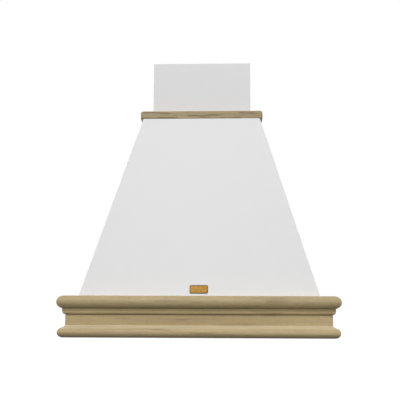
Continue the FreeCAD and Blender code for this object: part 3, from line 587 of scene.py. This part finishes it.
def pale_floor():
    """Pale floor that keeps a soft shadow, and lets the camera see through it from below."""
    made = bpy.data.materials.new("floor")
    made.use_nodes = True
    tree = made.node_tree
    tree.nodes.clear()
    output = tree.nodes.new("ShaderNodeOutputMaterial")
    diffuse = tree.nodes.new("ShaderNodeBsdfDiffuse")
    diffuse.inputs[0].default_value = FLOOR_COLOUR
    glow = tree.nodes.new("ShaderNodeEmission")
    glow.inputs["Color"].default_value = rgb(1.0, 1.0, 1.0)
    coordinates = tree.nodes.new("ShaderNodeTexCoord")
    away = tree.nodes.new("ShaderNodeVectorMath")
    away.operation = "LENGTH"
    tree.links.new(coordinates.outputs["Object"], away.inputs[0])
    rise = tree.nodes.new("ShaderNodeMapRange")
    rise.inputs["From Min"].default_value = FLOOR_GLOW_FROM
    rise.inputs["From Max"].default_value = FLOOR_GLOW_TO
    rise.inputs["To Min"].default_value = FLOOR_GLOW
    rise.inputs["To Max"].default_value = 1.0
    tree.links.new(away.outputs["Value"], rise.inputs["Value"])
    tree.links.new(rise.outputs[0], glow.inputs["Strength"])
    dark = tree.nodes.new("ShaderNodeEmission")
    dark.inputs["Strength"].default_value = 0.0
    seen = seen_directly(tree)
    chosen = tree.nodes.new("ShaderNodeMixShader")
    tree.links.new(seen, chosen.inputs[0])
    tree.links.new(dark.outputs[0], chosen.inputs[1])
    tree.links.new(glow.outputs[0], chosen.inputs[2])
    both = tree.nodes.new("ShaderNodeAddShader")
    tree.links.new(diffuse.outputs[0], both.inputs[0])
    tree.links.new(chosen.outputs[0], both.inputs[1])
    clear = tree.nodes.new("ShaderNodeBsdfTransparent")
    side = tree.nodes.new("ShaderNodeNewGeometry")
    path = tree.nodes.new("ShaderNodeLightPath")
    under = tree.nodes.new("ShaderNodeMath")
    under.operation = "MULTIPLY"
    tree.links.new(side.outputs["Backfacing"], under.inputs[0])
    tree.links.new(path.outputs["Is Camera Ray"], under.inputs[1])
    last = tree.nodes.new("ShaderNodeMixShader")
    tree.links.new(under.outputs[0], last.inputs[0])
    tree.links.new(both.outputs[0], last.inputs[1])
    tree.links.new(clear.outputs[0], last.inputs[2])
    tree.links.new(last.outputs[0], output.inputs[0])
    return made


def seen_directly(tree):
    """1 for camera, glossy and transmission rays, which see the background white."""
    path = tree.nodes.new("ShaderNodeLightPath")
    first = tree.nodes.new("ShaderNodeMath")
    first.operation = "MAXIMUM"
    tree.links.new(path.outputs["Is Camera Ray"], first.inputs[0])
    tree.links.new(path.outputs["Is Glossy Ray"], first.inputs[1])
    second = tree.nodes.new("ShaderNodeMath")
    second.operation = "MAXIMUM"
    tree.links.new(first.outputs[0], second.inputs[0])
    tree.links.new(path.outputs["Is Transmission Ray"], second.inputs[1])
    return second.outputs[0]


def make_camera():
    data = bpy.data.cameras.new("camera")
    data.sensor_width = CAMERA_SENSOR
    data.lens = CAMERA_LENS
    ahead = Vector((
        -math.sin(CAMERA_YAW) * math.cos(CAMERA_PITCH),
        math.cos(CAMERA_YAW) * math.cos(CAMERA_PITCH),
        math.sin(CAMERA_PITCH)))
    level = ahead.cross(Vector((0, 0, 1))).normalized()
    upright = level.cross(ahead)
    right = level * math.cos(CAMERA_ROLL) + upright * math.sin(CAMERA_ROLL)
    up = upright * math.cos(CAMERA_ROLL) - level * math.sin(CAMERA_ROLL)
    turn = Matrix((right, up, -ahead)).transposed()
    camera = bpy.data.objects.new("camera", data)
    camera.matrix_world = Matrix.Translation(CAMERA_PLACE) @ turn.to_4x4()
    bpy.context.scene.collection.objects.link(camera)
    bpy.context.scene.camera = camera


def make_lamp(name, place, width, power):
    data = bpy.data.lights.new(name, "AREA")
    data.shape = "DISK"
    data.size = width
    data.energy = power
    lamp = bpy.data.objects.new(name, data)
    lamp.location = place
    towards = Vector(LAMP_TARGET) - Vector(place)
    lamp.rotation_euler = towards.to_track_quat("-Z", "Y").to_euler()
    bpy.context.scene.collection.objects.link(lamp)


def make_world():
    world = bpy.data.worlds.new("world")
    bpy.context.scene.world = world
    world.use_nodes = True
    tree = world.node_tree
    tree.nodes.clear()
    output = tree.nodes.new("ShaderNodeOutputWorld")
    sky = tree.nodes.new("ShaderNodeBackground")
    white = tree.nodes.new("ShaderNodeBackground")
    sky.inputs["Color"].default_value = rgb(1.0, 1.0, 1.0)
    white.inputs["Color"].default_value = rgb(1.0, 1.0, 1.0)
    white.inputs["Strength"].default_value = 1.0
    coordinates = tree.nodes.new("ShaderNodeTexCoord")
    parts = tree.nodes.new("ShaderNodeSeparateXYZ")
    tree.links.new(coordinates.outputs["Generated"], parts.inputs[0])
    height = tree.nodes.new("ShaderNodeMapRange")
    height.inputs["To Min"].default_value = WORLD_HORIZON
    height.inputs["To Max"].default_value = WORLD_TOP
    tree.links.new(parts.outputs["Z"], height.inputs["Value"])
    tree.links.new(height.outputs[0], sky.inputs["Strength"])
    chosen = tree.nodes.new("ShaderNodeMixShader")
    tree.links.new(seen_directly(tree), chosen.inputs[0])
    tree.links.new(sky.outputs[0], chosen.inputs[1])
    tree.links.new(white.outputs[0], chosen.inputs[2])
    tree.links.new(chosen.outputs[0], output.inputs[0])


def make_floor():
    mesh = bmesh.new()
    bmesh.ops.create_circle(mesh, cap_ends=True, segments=64, radius=FLOOR_RADIUS)
    data = bpy.data.meshes.new("floor")
    mesh.to_mesh(data)
    mesh.free()
    data.materials.append(pale_floor())
    floor = bpy.data.objects.new("floor", data)
    floor.location = (0, 0, FLOOR_HEIGHT)
    bpy.context.scene.collection.objects.link(floor)


def make_stage():
    bpy.context.scene.view_settings.view_transform = "Standard"
    make_camera()
    make_world()
    make_floor()
    for name, (place, width, power) in LAMPS.items():
        make_lamp(name, place, width, power)


# ---- Mouldings ----

def corner_point(half, depth, across, height, ease, angle):
    """Point on the right front corner's round, at an angle from the front face to the side."""
    radius = ease * min(1.0, max(0.0, across) / ease)
    turn = angle - math.pi / 2
    return Vector((
        half + across - radius + radius * math.cos(turn),
        -(depth + across) + radius + radius * math.sin(turn),
        height))


def eighth(start=0.0):
    """Angles over an eighth of a turn, from the start on."""
    return [start + math.pi / 4 * step / CORNER_STEPS for step in range(CORNER_STEPS + 1)]


def mirrored(point):
    return Vector((-point.x, point.y, point.z))


def front_length(outline, half, depth, ease):
    """Loops of a front length, from the left mitre to the right one."""
    right = [
        [corner_point(half, depth, p, z, ease, angle) for p, z in outline] for angle in eighth()]
    left = [[mirrored(point) for point in loop] for loop in reversed(right)]
    return left + right


def side_length(outline, half, depth, ease):
    """Loops of the right-hand length, from its mitre to the wall."""
    loops = [
        [corner_point(half, depth, p, z, ease, angle) for p, z in outline]
        for angle in eighth(math.pi / 4)]
    loops.append([Vector((half + p, 0, z)) for p, z in outline])
    return loops


def groove_ends(mesh):
    """Eases the arris round each mitred end, so that the joint shows as a fine line."""
    found = []
    for edge in mesh.edges:
        at_end = any(len(face.verts) > MITRE_END_CORNERS for face in edge.link_faces)
        middle = (edge.verts[0].co + edge.verts[1].co) / 2
        sharp = edge.calc_face_angle(0) > MITRE_LEAST_ANGLE
        if at_end and sharp and abs(middle.y) > WALL_MARGIN:
            found.append(edge)
    bmesh.ops.bevel(
        mesh, geom=found, offset=MITRE_GROOVE, segments=1, profile=0.5, affect="EDGES")
    return mesh


def make_moulding_set(name, outline, half, depth, ease, along_x, along_y):
    """Front, right and left lengths of a moulding round a frame, mitred at its front corners."""
    front = groove_ends(loft(front_length(outline, half, depth, ease)))
    piece(name + "_front_board", front, [along_x], name + "_front")
    side = side_length(outline, half, depth, ease)
    right = groove_ends(loft(side))
    piece(name + "_right_board", right, [along_y], name + "_right")
    left = groove_ends(loft([[mirrored(point) for point in loop] for loop in side]))
    piece(name + "_left_board", left, [along_y], name + "_left")


def arc(across, up, radius, start, end, steps=ARC_STEPS):
    """Points round a centre from one angle to another."""
    angles = [start + (end - start) * step / steps for step in range(steps + 1)]
    return [(across + radius * math.cos(angle), up + radius * math.sin(angle)) for angle in angles]


def bead_outline(reach, low, high):
    """Half-round bead, from the bottom up."""
    radius = (high - low) / 2
    nose = arc(reach - radius, low + radius, radius, -math.pi / 2, math.pi / 2)
    return [(0, low)] + nose + [(0, high)]


def frieze_outline(nose, high):
    """Foot, slope, band and leaning ovolo, from the bottom up."""
    foot = arc(
        nose - BULLNOSE_RADIUS, BULLNOSE_RADIUS, BULLNOSE_RADIUS, -math.pi / 2, BULLNOSE_TURN)
    across, up = foot[-1]
    hollow = ((across + BAND_PROJECTION) / 2 - SLOPE_HOLLOW, (up + BAND_BOTTOM) / 2 - SLOPE_HOLLOW)
    slope = filleted([
        (across, up, 0), hollow + (0,), (BAND_PROJECTION, BAND_BOTTOM, SLOPE_FOOT_ROUND),
        (BAND_PROJECTION, high, 0), (0, high, 0)])
    ovolo_low = high - OVOLO_BELOW_BEAD
    ovolo = arc(
        BAND_PROJECTION, ovolo_low + OVOLO_RADIUS, OVOLO_RADIUS, -math.pi / 2, -OVOLO_LEAN,
        OVOLO_STEPS)
    rise = high - ovolo[-1][1]
    top = ovolo[-1][0] + rise * math.tan(OVOLO_LEAN)
    return [(0, 0)] + foot + slope[1:-2] + ovolo + [(top, high), (0, high)]


def cap_outline(low, high, inner):
    """Flat cap that is rounded at its outer edges, more at the top than at the bottom."""
    return filleted([
        (inner, low, 0), (CAP_OVERHANG, low, CAP_LOWER_ROUND), (CAP_OVERHANG, high, CAP_ROUND),
        (inner, high, 0)])


def frieze_tints(bead_low):
    """Levels of the frieze with painted light (paler) or painted shade (darker) in their colour.
    """
    ovolo_low = bead_low - OVOLO_BELOW_BEAD
    return (
        # Painted light: the slope above the bullnose is made paler, as if lit from above.
        (2 * BULLNOSE_RADIUS - 0.003, BAND_BOTTOM, 0.5, OAK_PAINTED_LIGHT),
        # Painted shade: darker in the crease under the ovolo, in the bead's shadow at the frieze's
        # top, and along the lower round and underside of the bullnose.
        (ovolo_low - 0.001, ovolo_low + 0.001, 0.35, OAK_PAINTED_SHADE),
        (bead_low - 0.006, bead_low + 0.001, 0.35, OAK_PAINTED_SHADE),
        (0.0009, 0.0034, 0.85, OAK_PAINTED_SHADE),
        (0.0034, 0.0090, 0.30, OAK_PAINTED_SHADE),
    )


def make_mouldings():
    rail_low, rail_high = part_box("base_rail_front")
    half = rail_high.x
    depth = -rail_low.y
    bead_low, bead_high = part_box("top_bead_front")
    bead = bead_outline(-bead_low.y - depth, bead_low.z, bead_high.z)
    frieze = frieze_outline(-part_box("frieze_front")[0].y - depth, bead_low.z)
    cap_low, cap_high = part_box("cap_moulding_front")
    cap_half = cap_high.x - CAP_OVERHANG
    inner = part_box("chimney_front")[1].x + SLEEVE_CLEARANCE - cap_half
    cap = cap_outline(cap_low.z, cap_high.z, inner)
    frieze_looks = dict(FRIEZE_LOOKS, tinted=frieze_tints(bead_low.z))
    bead_x = oak("oak_bead_x", "XYZ", (0.31, 0.07, 0.00), **BEAD_LOOKS)
    bead_y = oak("oak_bead_y", "YXZ", (1.73, 0.21, 0.04), **BEAD_LOOKS)
    frieze_x = oak("oak_frieze_x", "XYZ", (2.17, 0.52, 0.33), **frieze_looks)
    frieze_y = oak("oak_frieze_y", "YXZ", (3.91, 0.66, 0.72), **frieze_looks)
    cap_x = oak("oak_cap_x", "XYZ", (5.23, 0.15, 0.93), **CAP_LOOKS)
    cap_y = oak("oak_cap_y", "YXZ", (6.37, 0.84, 0.48), **CAP_LOOKS)
    make_moulding_set("top_bead", bead, half, depth, MOULDING_CORNER, bead_x, bead_y)
    make_moulding_set("frieze", frieze, half, depth, MOULDING_CORNER, frieze_x, frieze_y)
    cap_depth = -cap_low.y - CAP_OVERHANG
    make_moulding_set("cap_moulding", cap, cap_half, cap_depth, CAP_CORNER, cap_x, cap_y)


# ---- Painted body and chimney ----

def level_corners(node, height):
    """Corners of a board's right-hand half at one of its two heights."""
    points = [v.co for v in NODES[node].data.vertices if abs(v.co.z - height) < NEAR]
    return sorted({(round(p.x, 6), round(p.y, 6)) for p in points if p.x > -SAME_POINT})


def body_outlines(z, half, depth, inner_half, inner_depth):
    """Loops of the front board and of the right-hand board at a height."""
    radius = BOARD_CORNER
    inner = Vector((inner_half, -inner_depth, z))

    def at(angle):
        turn = angle - math.pi / 2
        return Vector((
            half - radius + radius * math.cos(turn), -depth + radius + radius * math.sin(turn), z))

    right = [at(angle) for angle in eighth()]
    left = [mirrored(point) for point in reversed(right)]
    front = left + right + [inner, mirrored(inner)]
    side = [at(angle) for angle in eighth(math.pi / 4)]
    side += [Vector((half, 0, z)), Vector((inner_half, 0, z)), inner]
    return front, side


def paint_outside(made, *outward):
    """Paint on the faces that look one of the ways given, and bare board on the rest."""
    for face in made.data.polygons:
        outside = any(face.normal.dot(Vector(way)) > PAINTED_TURN for way in outward)
        face.material_index = 0 if outside else 1


def make_board(name, mesh, paint, bare, node, *outward):
    paint_outside(piece(name, mesh, [paint, bare], node), *outward)


def make_body(paint, bare):
    low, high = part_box("front_panel")
    loops = []
    for z in (low.z, high.z):
        outer = level_corners("front_panel", z)
        half = max(x for x, y in outer)
        depth = -min(y for x, y in outer)
        inner_half = min(x for x, y in outer)
        inner_depth = -max(y for x, y in outer)
        loops.append(body_outlines(z, half, depth, inner_half, inner_depth))
    front = [front for front, side in loops]
    right = [side for front, side in loops]
    left = [[mirrored(point) for point in loop] for loop in right]
    make_board("front_board", loft(front), paint, bare, "front_panel", (0, -1, 0))
    make_board("right_board", loft(right), paint, bare, "right_side_panel", (1, 0, 0))
    make_board("left_board", loft(left), paint, bare, "left_side_panel", (-1, 0, 0))


def make_chimney(paint, bare):
    for name, *outward in (
            ("chimney_front", (0, -1, 0.4), (1, 0, 0), (-1, 0, 0)), ("chimney_right", (1, 0, 0.4)),
            ("chimney_left", (-1, 0, 0.4))):
        mesh = round_edges(cad_copy(name), BOARD_ARRIS)
        make_board(name + "_board", mesh, paint, bare, name, *outward)


# ---- Badge ----

def make_badge(field, rim):
    """Brass plate with a raised rim round a bare field, flat on the sloping board."""
    mesh = cad_copy("badge_plate")
    front = max(mesh.faces, key=lambda one: one.calc_area() * (one.normal.y < 0))
    bmesh.ops.inset_individual(mesh, faces=[front], thickness=BADGE_RIM, depth=0)
    bmesh.ops.inset_individual(mesh, faces=[front], thickness=BADGE_SINK, depth=-BADGE_SINK)
    plate = piece("badge_board", mesh, [rim, field], "badge_plate", BADGE_SHARP)
    for one in sorted(plate.data.polygons, key=lambda one: one.area)[-2:]:
        one.material_index = 1


# ---- Filters ----

def expanded_sheet(low, high, height, flip):
    """Sheet of expanded metal: diamonds with a raised waist, between two corners at a height."""
    mesh = bmesh.new()
    corners = {}

    def corner(x, y, lift):
        key = (round(x, 5), round(y, 5))
        if key not in corners:
            corners[key] = mesh.verts.new((x, y, height + lift * flip))
        return corners[key]

    columns = int((high.x - low.x) / MESH_WIDTH)
    rows = int((high.y - low.y) / MESH_HEIGHT)
    left = (low.x + high.x - (columns - 1) * MESH_WIDTH) / 2
    bottom = (low.y + high.y - (rows - 1) * MESH_HEIGHT) / 2
    for shift in (0, 1):
        for column in range(columns - shift):
            for row in range(rows - shift):
                x = left + (column + shift / 2) * MESH_WIDTH
                y = bottom + (row + shift / 2) * MESH_HEIGHT
                ring = [
                    (x + MESH_WIDTH / 2, y, 0.0), (x, y + MESH_HEIGHT / 2, MESH_RIPPLE),
                    (x - MESH_WIDTH / 2, y, 0.0), (x, y - MESH_HEIGHT / 2, MESH_RIPPLE)]
                outer = [corner(*one) for one in ring]
                inner = [
                    mesh.verts.new((
                        x + (px - x) * (1 - MESH_STRAND), y + (py - y) * (1 - MESH_STRAND),
                        height + MESH_RIPPLE / 2 * flip))
                    for px, py, lift in ring]
                for here in range(4):
                    after = (here + 1) % 4
                    mesh.faces.new((outer[here], outer[after], inner[after], inner[here]))
    bmesh.ops.recalc_face_normals(mesh, faces=mesh.faces)
    return mesh


def make_filter(side, frame_metal, mesh_metal, core):
    """Two expanded sheets on a core, in a frame."""
    node = "filter_mesh_" + side
    low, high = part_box(node)
    sheets = (("lower", low.z + MESH_SHEET, 1), ("upper", high.z - MESH_SHEET, -1))
    for name, height, flip in sheets:
        sheet = piece(
            "filter_%s_sheet_%s" % (name, side), expanded_sheet(low, high, height, flip),
            [mesh_metal], node)
        solid = sheet.modifiers.new("thickness", "SOLIDIFY")
        solid.thickness = MESH_SHEET
        solid.offset = 0.0
        sheet.modifiers.move(1, 0)
    thick = (high.z - low.z) * CORE_SHARE
    mesh = bmesh.new()
    bmesh.ops.create_cube(mesh, size=1.0)
    middle = (low + high) / 2
    for vertex in mesh.verts:
        vertex.co = Vector((
            middle.x + vertex.co.x * (high.x - low.x), middle.y + vertex.co.y * (high.y - low.y),
            middle.z + vertex.co.z * thick))
    piece("filter_core_" + side, mesh, [core], node)
    node = "filter_frame_" + side
    low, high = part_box(node)
    shell = cad_copy(node)
    for vertex in shell.verts:
        if abs(vertex.co.x - low.x) < ON_FACE:
            vertex.co.x -= FRAME_LIP
        elif abs(vertex.co.x - high.x) < ON_FACE:
            vertex.co.x += FRAME_LIP
    piece(
        node + "_shell", round_edges(shell, FRAME_ARRIS), [frame_metal], node)


# ---- Buttons, lamps and screws ----

def make_button(number, material):
    """Button with a dished face, a flange and a stem, as wide as the solid's."""
    node = "push_button_%d" % number
    low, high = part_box(node)
    centre = (low + high) / 2
    points = [v.co for v in NODES[node].data.vertices]
    radius = max(abs(p.x - centre.x) for p in points if p.z < low.z + BUTTON_FACE_LEVEL)
    wide = high.x - centre.x
    flange_low = min(p.z for p in points if abs(p.x - centre.x) > radius * BUTTON_FLANGE_FROM)
    flange_high = flange_low + BUTTON_FLANGE
    stem = max(BUTTON_LEAST_STEM, min(
        abs(p.x - centre.x) + abs(p.y - centre.y) for p in points if p.z > high.z - NEAR))
    profile = [(radius * share, low.z + BUTTON_DISH * depth) for share, depth in BUTTON_FACE]
    profile += [(radius * share, low.z + rise) for share, rise in BUTTON_EDGE]
    profile += [
        (radius, flange_low), (wide, flange_low), (wide, flange_high), (stem, flange_high),
        (stem, high.z), (0.0, high.z)]
    mesh = turned(profile, (centre.x, centre.y, 0), (0, 0, 1), BUTTON_STEPS)
    piece(node + "_cap", mesh, [material], node, BUTTON_SHARP)


def loose_parts(node):
    """Each separate solid of a node, as its points, in the order of the mesh."""
    mesh = bmesh.new()
    mesh.from_mesh(NODES[node].data)
    bmesh.ops.remove_doubles(mesh, verts=mesh.verts, dist=SAME_POINT)
    seen = set()
    parts = []
    for first in mesh.verts:
        if first in seen:
            continue
        seen.add(first)
        stack = [first]
        found = []
        while stack:
            vertex = stack.pop()
            found.append(vertex.co.copy())
            for edge in vertex.link_edges:
                other = edge.other_vert(vertex)
                if other not in seen:
                    seen.add(other)
                    stack.append(other)
        parts.append(found)
    mesh.free()
    return parts


def screw_place(points):
    """Where a screw's head sits, its shank's way and length, both radii and its head's height."""
    low = Vector([min(p[i] for p in points) for i in range(3)])
    high = Vector([max(p[i] for p in points) for i in range(3)])
    axis = max(range(3), key=lambda i: high[i] - low[i])
    centre = (low + high) / 2

    def away(p):
        return (Vector([p[i] for i in range(3) if i != axis])
                - Vector([centre[i] for i in range(3) if i != axis])).length

    widest = max(away(p) for p in points)
    head = [p for p in points if away(p) > widest * SCREW_HEAD_FROM]
    near = min(p[axis] for p in head)
    far = max(p[axis] for p in head)
    shank = min(away(p) for p in points if away(p) > widest * SCREW_SHANK_FROM)
    towards = Vector((0, 0, 0))
    place = centre.copy()
    if far > high[axis] - NEAR:
        towards[axis] = -1.0
        place[axis] = near
        length = near - low[axis]
    else:
        towards[axis] = 1.0
        place[axis] = far
        length = high[axis] - far
    return place, towards, length, widest, shank, far - near


def screw_mesh(mesh, place, towards, length, head, shank, height):
    """Pan-head screw with a cross recess."""
    turn = Vector((0, 0, -1)).rotation_difference(towards).to_matrix()
    angles = [2 * math.pi * step / SCREW_STEPS for step in range(SCREW_STEPS)]

    def point(x, y, z):
        return mesh.verts.new(place + turn @ Vector((x, y, z)))

    def ring(radius, z):
        return [point(radius * math.cos(angle), radius * math.sin(angle), z) for angle in angles]

    rings = [
        ring(shank * SCREW_POINT, -length), ring(shank, -length + shank * SCREW_POINT_LENGTH),
        ring(shank, 0.0)]
    rings += [ring(head * across, height * up) for across, up in SCREW_HEAD]
    for low, high in zip(rings, rings[1:]):
        for here in range(SCREW_STEPS):
            after = (here + 1) % SCREW_STEPS
            mesh.faces.new((low[here], low[after], high[after], high[here]))
    mesh.faces.new(tuple(reversed(rings[0])))
    arm, width = (head * share for share in SCREW_RECESS)
    narrow, slim, deep = SCREW_RECESS_FLOOR
    cross = [
        (arm, -width), (arm, width), (width, width), (width, arm),
        (-width, arm), (-width, width), (-arm, width), (-arm, -width),
        (-width, -width), (-width, -arm), (width, -arm), (width, -width)]
    rim = [point(x, y, height) for x, y in cross]
    floor = [point(x * narrow, y * slim, height * deep) for x, y in cross]
    count = len(cross)
    for here in range(count):
        after = (here + 1) % count
        mesh.faces.new((rim[after], rim[here], floor[here], floor[after]))
    mesh.faces.new(floor)
    edges = [mesh.edges.get((rim[n], rim[(n + 1) % count])) for n in range(count)]
    top = rings[-1]
    edges += [mesh.edges.get((top[n], top[(n + 1) % SCREW_STEPS])) for n in range(SCREW_STEPS)]
    bmesh.ops.triangle_fill(mesh, edges=edges, use_beauty=True)


def make_screws(node, material):
    mesh = bmesh.new()
    for points in loose_parts(node):
        screw_mesh(mesh, *screw_place(points))
    bmesh.ops.recalc_face_normals(mesh, faces=mesh.faces)
    piece(node + "_set", mesh, [material], node, SCREW_SHARP)


def make_housings(outside, reflector):
    """Lamp housings, bright on the inside."""
    node = "lamp_housings"
    made = piece("lamp_housing_shells", cad_copy(node), [outside, reflector], node)
    low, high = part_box(node)
    lamps = [side * (high.x - (high.y - low.y) / 2) for side in (-1, 1)]
    for face in made.data.polygons:
        lamp = min(lamps, key=lambda x: abs(x - face.center.x))
        inward = Vector((lamp - face.center.x, (low.y + high.y) / 2 - face.center.y, 0))
        level = (
            low.z + REFLECTOR_ABOVE_FLANGE < face.center.z < high.z - REFLECTOR_BELOW_ROOF)
        roof = face.normal.z < -REFLECTOR_TURN and level
        wall = abs(face.normal.z) < REFLECTOR_TURN and face.normal.dot(inward) > 0
        face.material_index = 1 if roof or wall else 0


def make_lenses(glass):
    """Lamp lenses with fine rings on the inside."""
    lenses = sorted(loose_parts("lamp_lenses"), key=lambda one: one[0].x)
    for number, points in enumerate(lenses, 1):
        low = Vector([min(p[i] for p in points) for i in range(3)])
        high = Vector([max(p[i] for p in points) for i in range(3)])
        radius = (high.x - low.x) / 2
        profile = [(radius * share, low.z + rise) for share, rise in LENS_FACE]
        profile.append((radius, high.z - LENS_EDGE_DEPTH))
        for step in range(LENS_RINGS):
            outer = radius * (1 - (step + LENS_RING_FROM) / LENS_RINGS)
            inner = outer - radius * LENS_RING_WIDTH / LENS_RINGS
            profile += [(outer, high.z), (inner, high.z - LENS_RING_DEPTH)]
        profile.append((0.0, high.z - LENS_CENTRE_DEPTH))
        centre = (low + high) / 2
        mesh = turned(profile, (centre.x, centre.y, 0), (0, 0, 1), LENS_STEPS)
        piece("lamp_lens_%d" % number, mesh, [glass], "lamp_lenses", LENS_SHARP)


# ---- Everything together ----

def make_hood():
    paint = painted()
    bare = raw_board()
    make_mouldings()
    make_body(paint, bare)
    make_chimney(paint, bare)
    make_badge(stippled_brass(), even("brass_rim"))
    aluminium = brushed("aluminium", "YXZ", rgb(0.74, 0.75, 0.76), 0.34)
    woven = even("woven_aluminium")
    core = mesh_core()
    for side in ("right", "left"):
        make_filter(side, aluminium, woven, core)
    satin = even("button_satin")
    for number in range(1, BUTTONS + 1):
        make_button(number, satin)
    dark_paint = even("motor_paint")
    make_housings(dark_paint, even("reflector"))
    make_lenses(frosted_glass())
    zinc = even("zinc_plate")
    for node in ("tray_screws", "chimney_screws", "moulding_screws", "blower_bolts"):
        make_screws(node, zinc)
    pine_up = pine("pine_up", "ZXY", (0.2, 0.4, 0.1))
    pine_across = pine("pine_across", "XYZ", (1.2, 0.6, 0.3))
    pine_deep = pine("pine_deep", "YXZ", (2.2, 0.1, 0.8))
    dress(pine_up, "corner_battens", "rear_battens", "chimney_battens")
    dress(pine_across, "hanging_rail", "base_rail_front", "base_rail_rear")
    dress(pine_deep, "base_rail_right", "base_rail_left")
    dress(brushed("stainless", "XYZ", rgb(0.58, 0.58, 0.575), 0.30), "canopy_tray")
    dress(galvanised(), "blower_bearers", "blower_feet", "chimney_bracket", "motor_spider")
    dress(
        even("black_plastic"), "scroll_half_right", "scroll_half_left", "outlet_collar",
        "damper_flap_front", "damper_flap_rear", "filter_latch_right", "filter_latch_left",
        "switch_box", "blower_wheel", "wheel_rings")
    dress(even("grey_plastic"), "terminal_box", "cable_gland", "switches")
    dress(zinc, "damper_pins", "motor_shaft")
    dress(dark_paint, "motor")
    dress(even("lead_sheath"), "internal_leads")


make_stage()
make_hood()
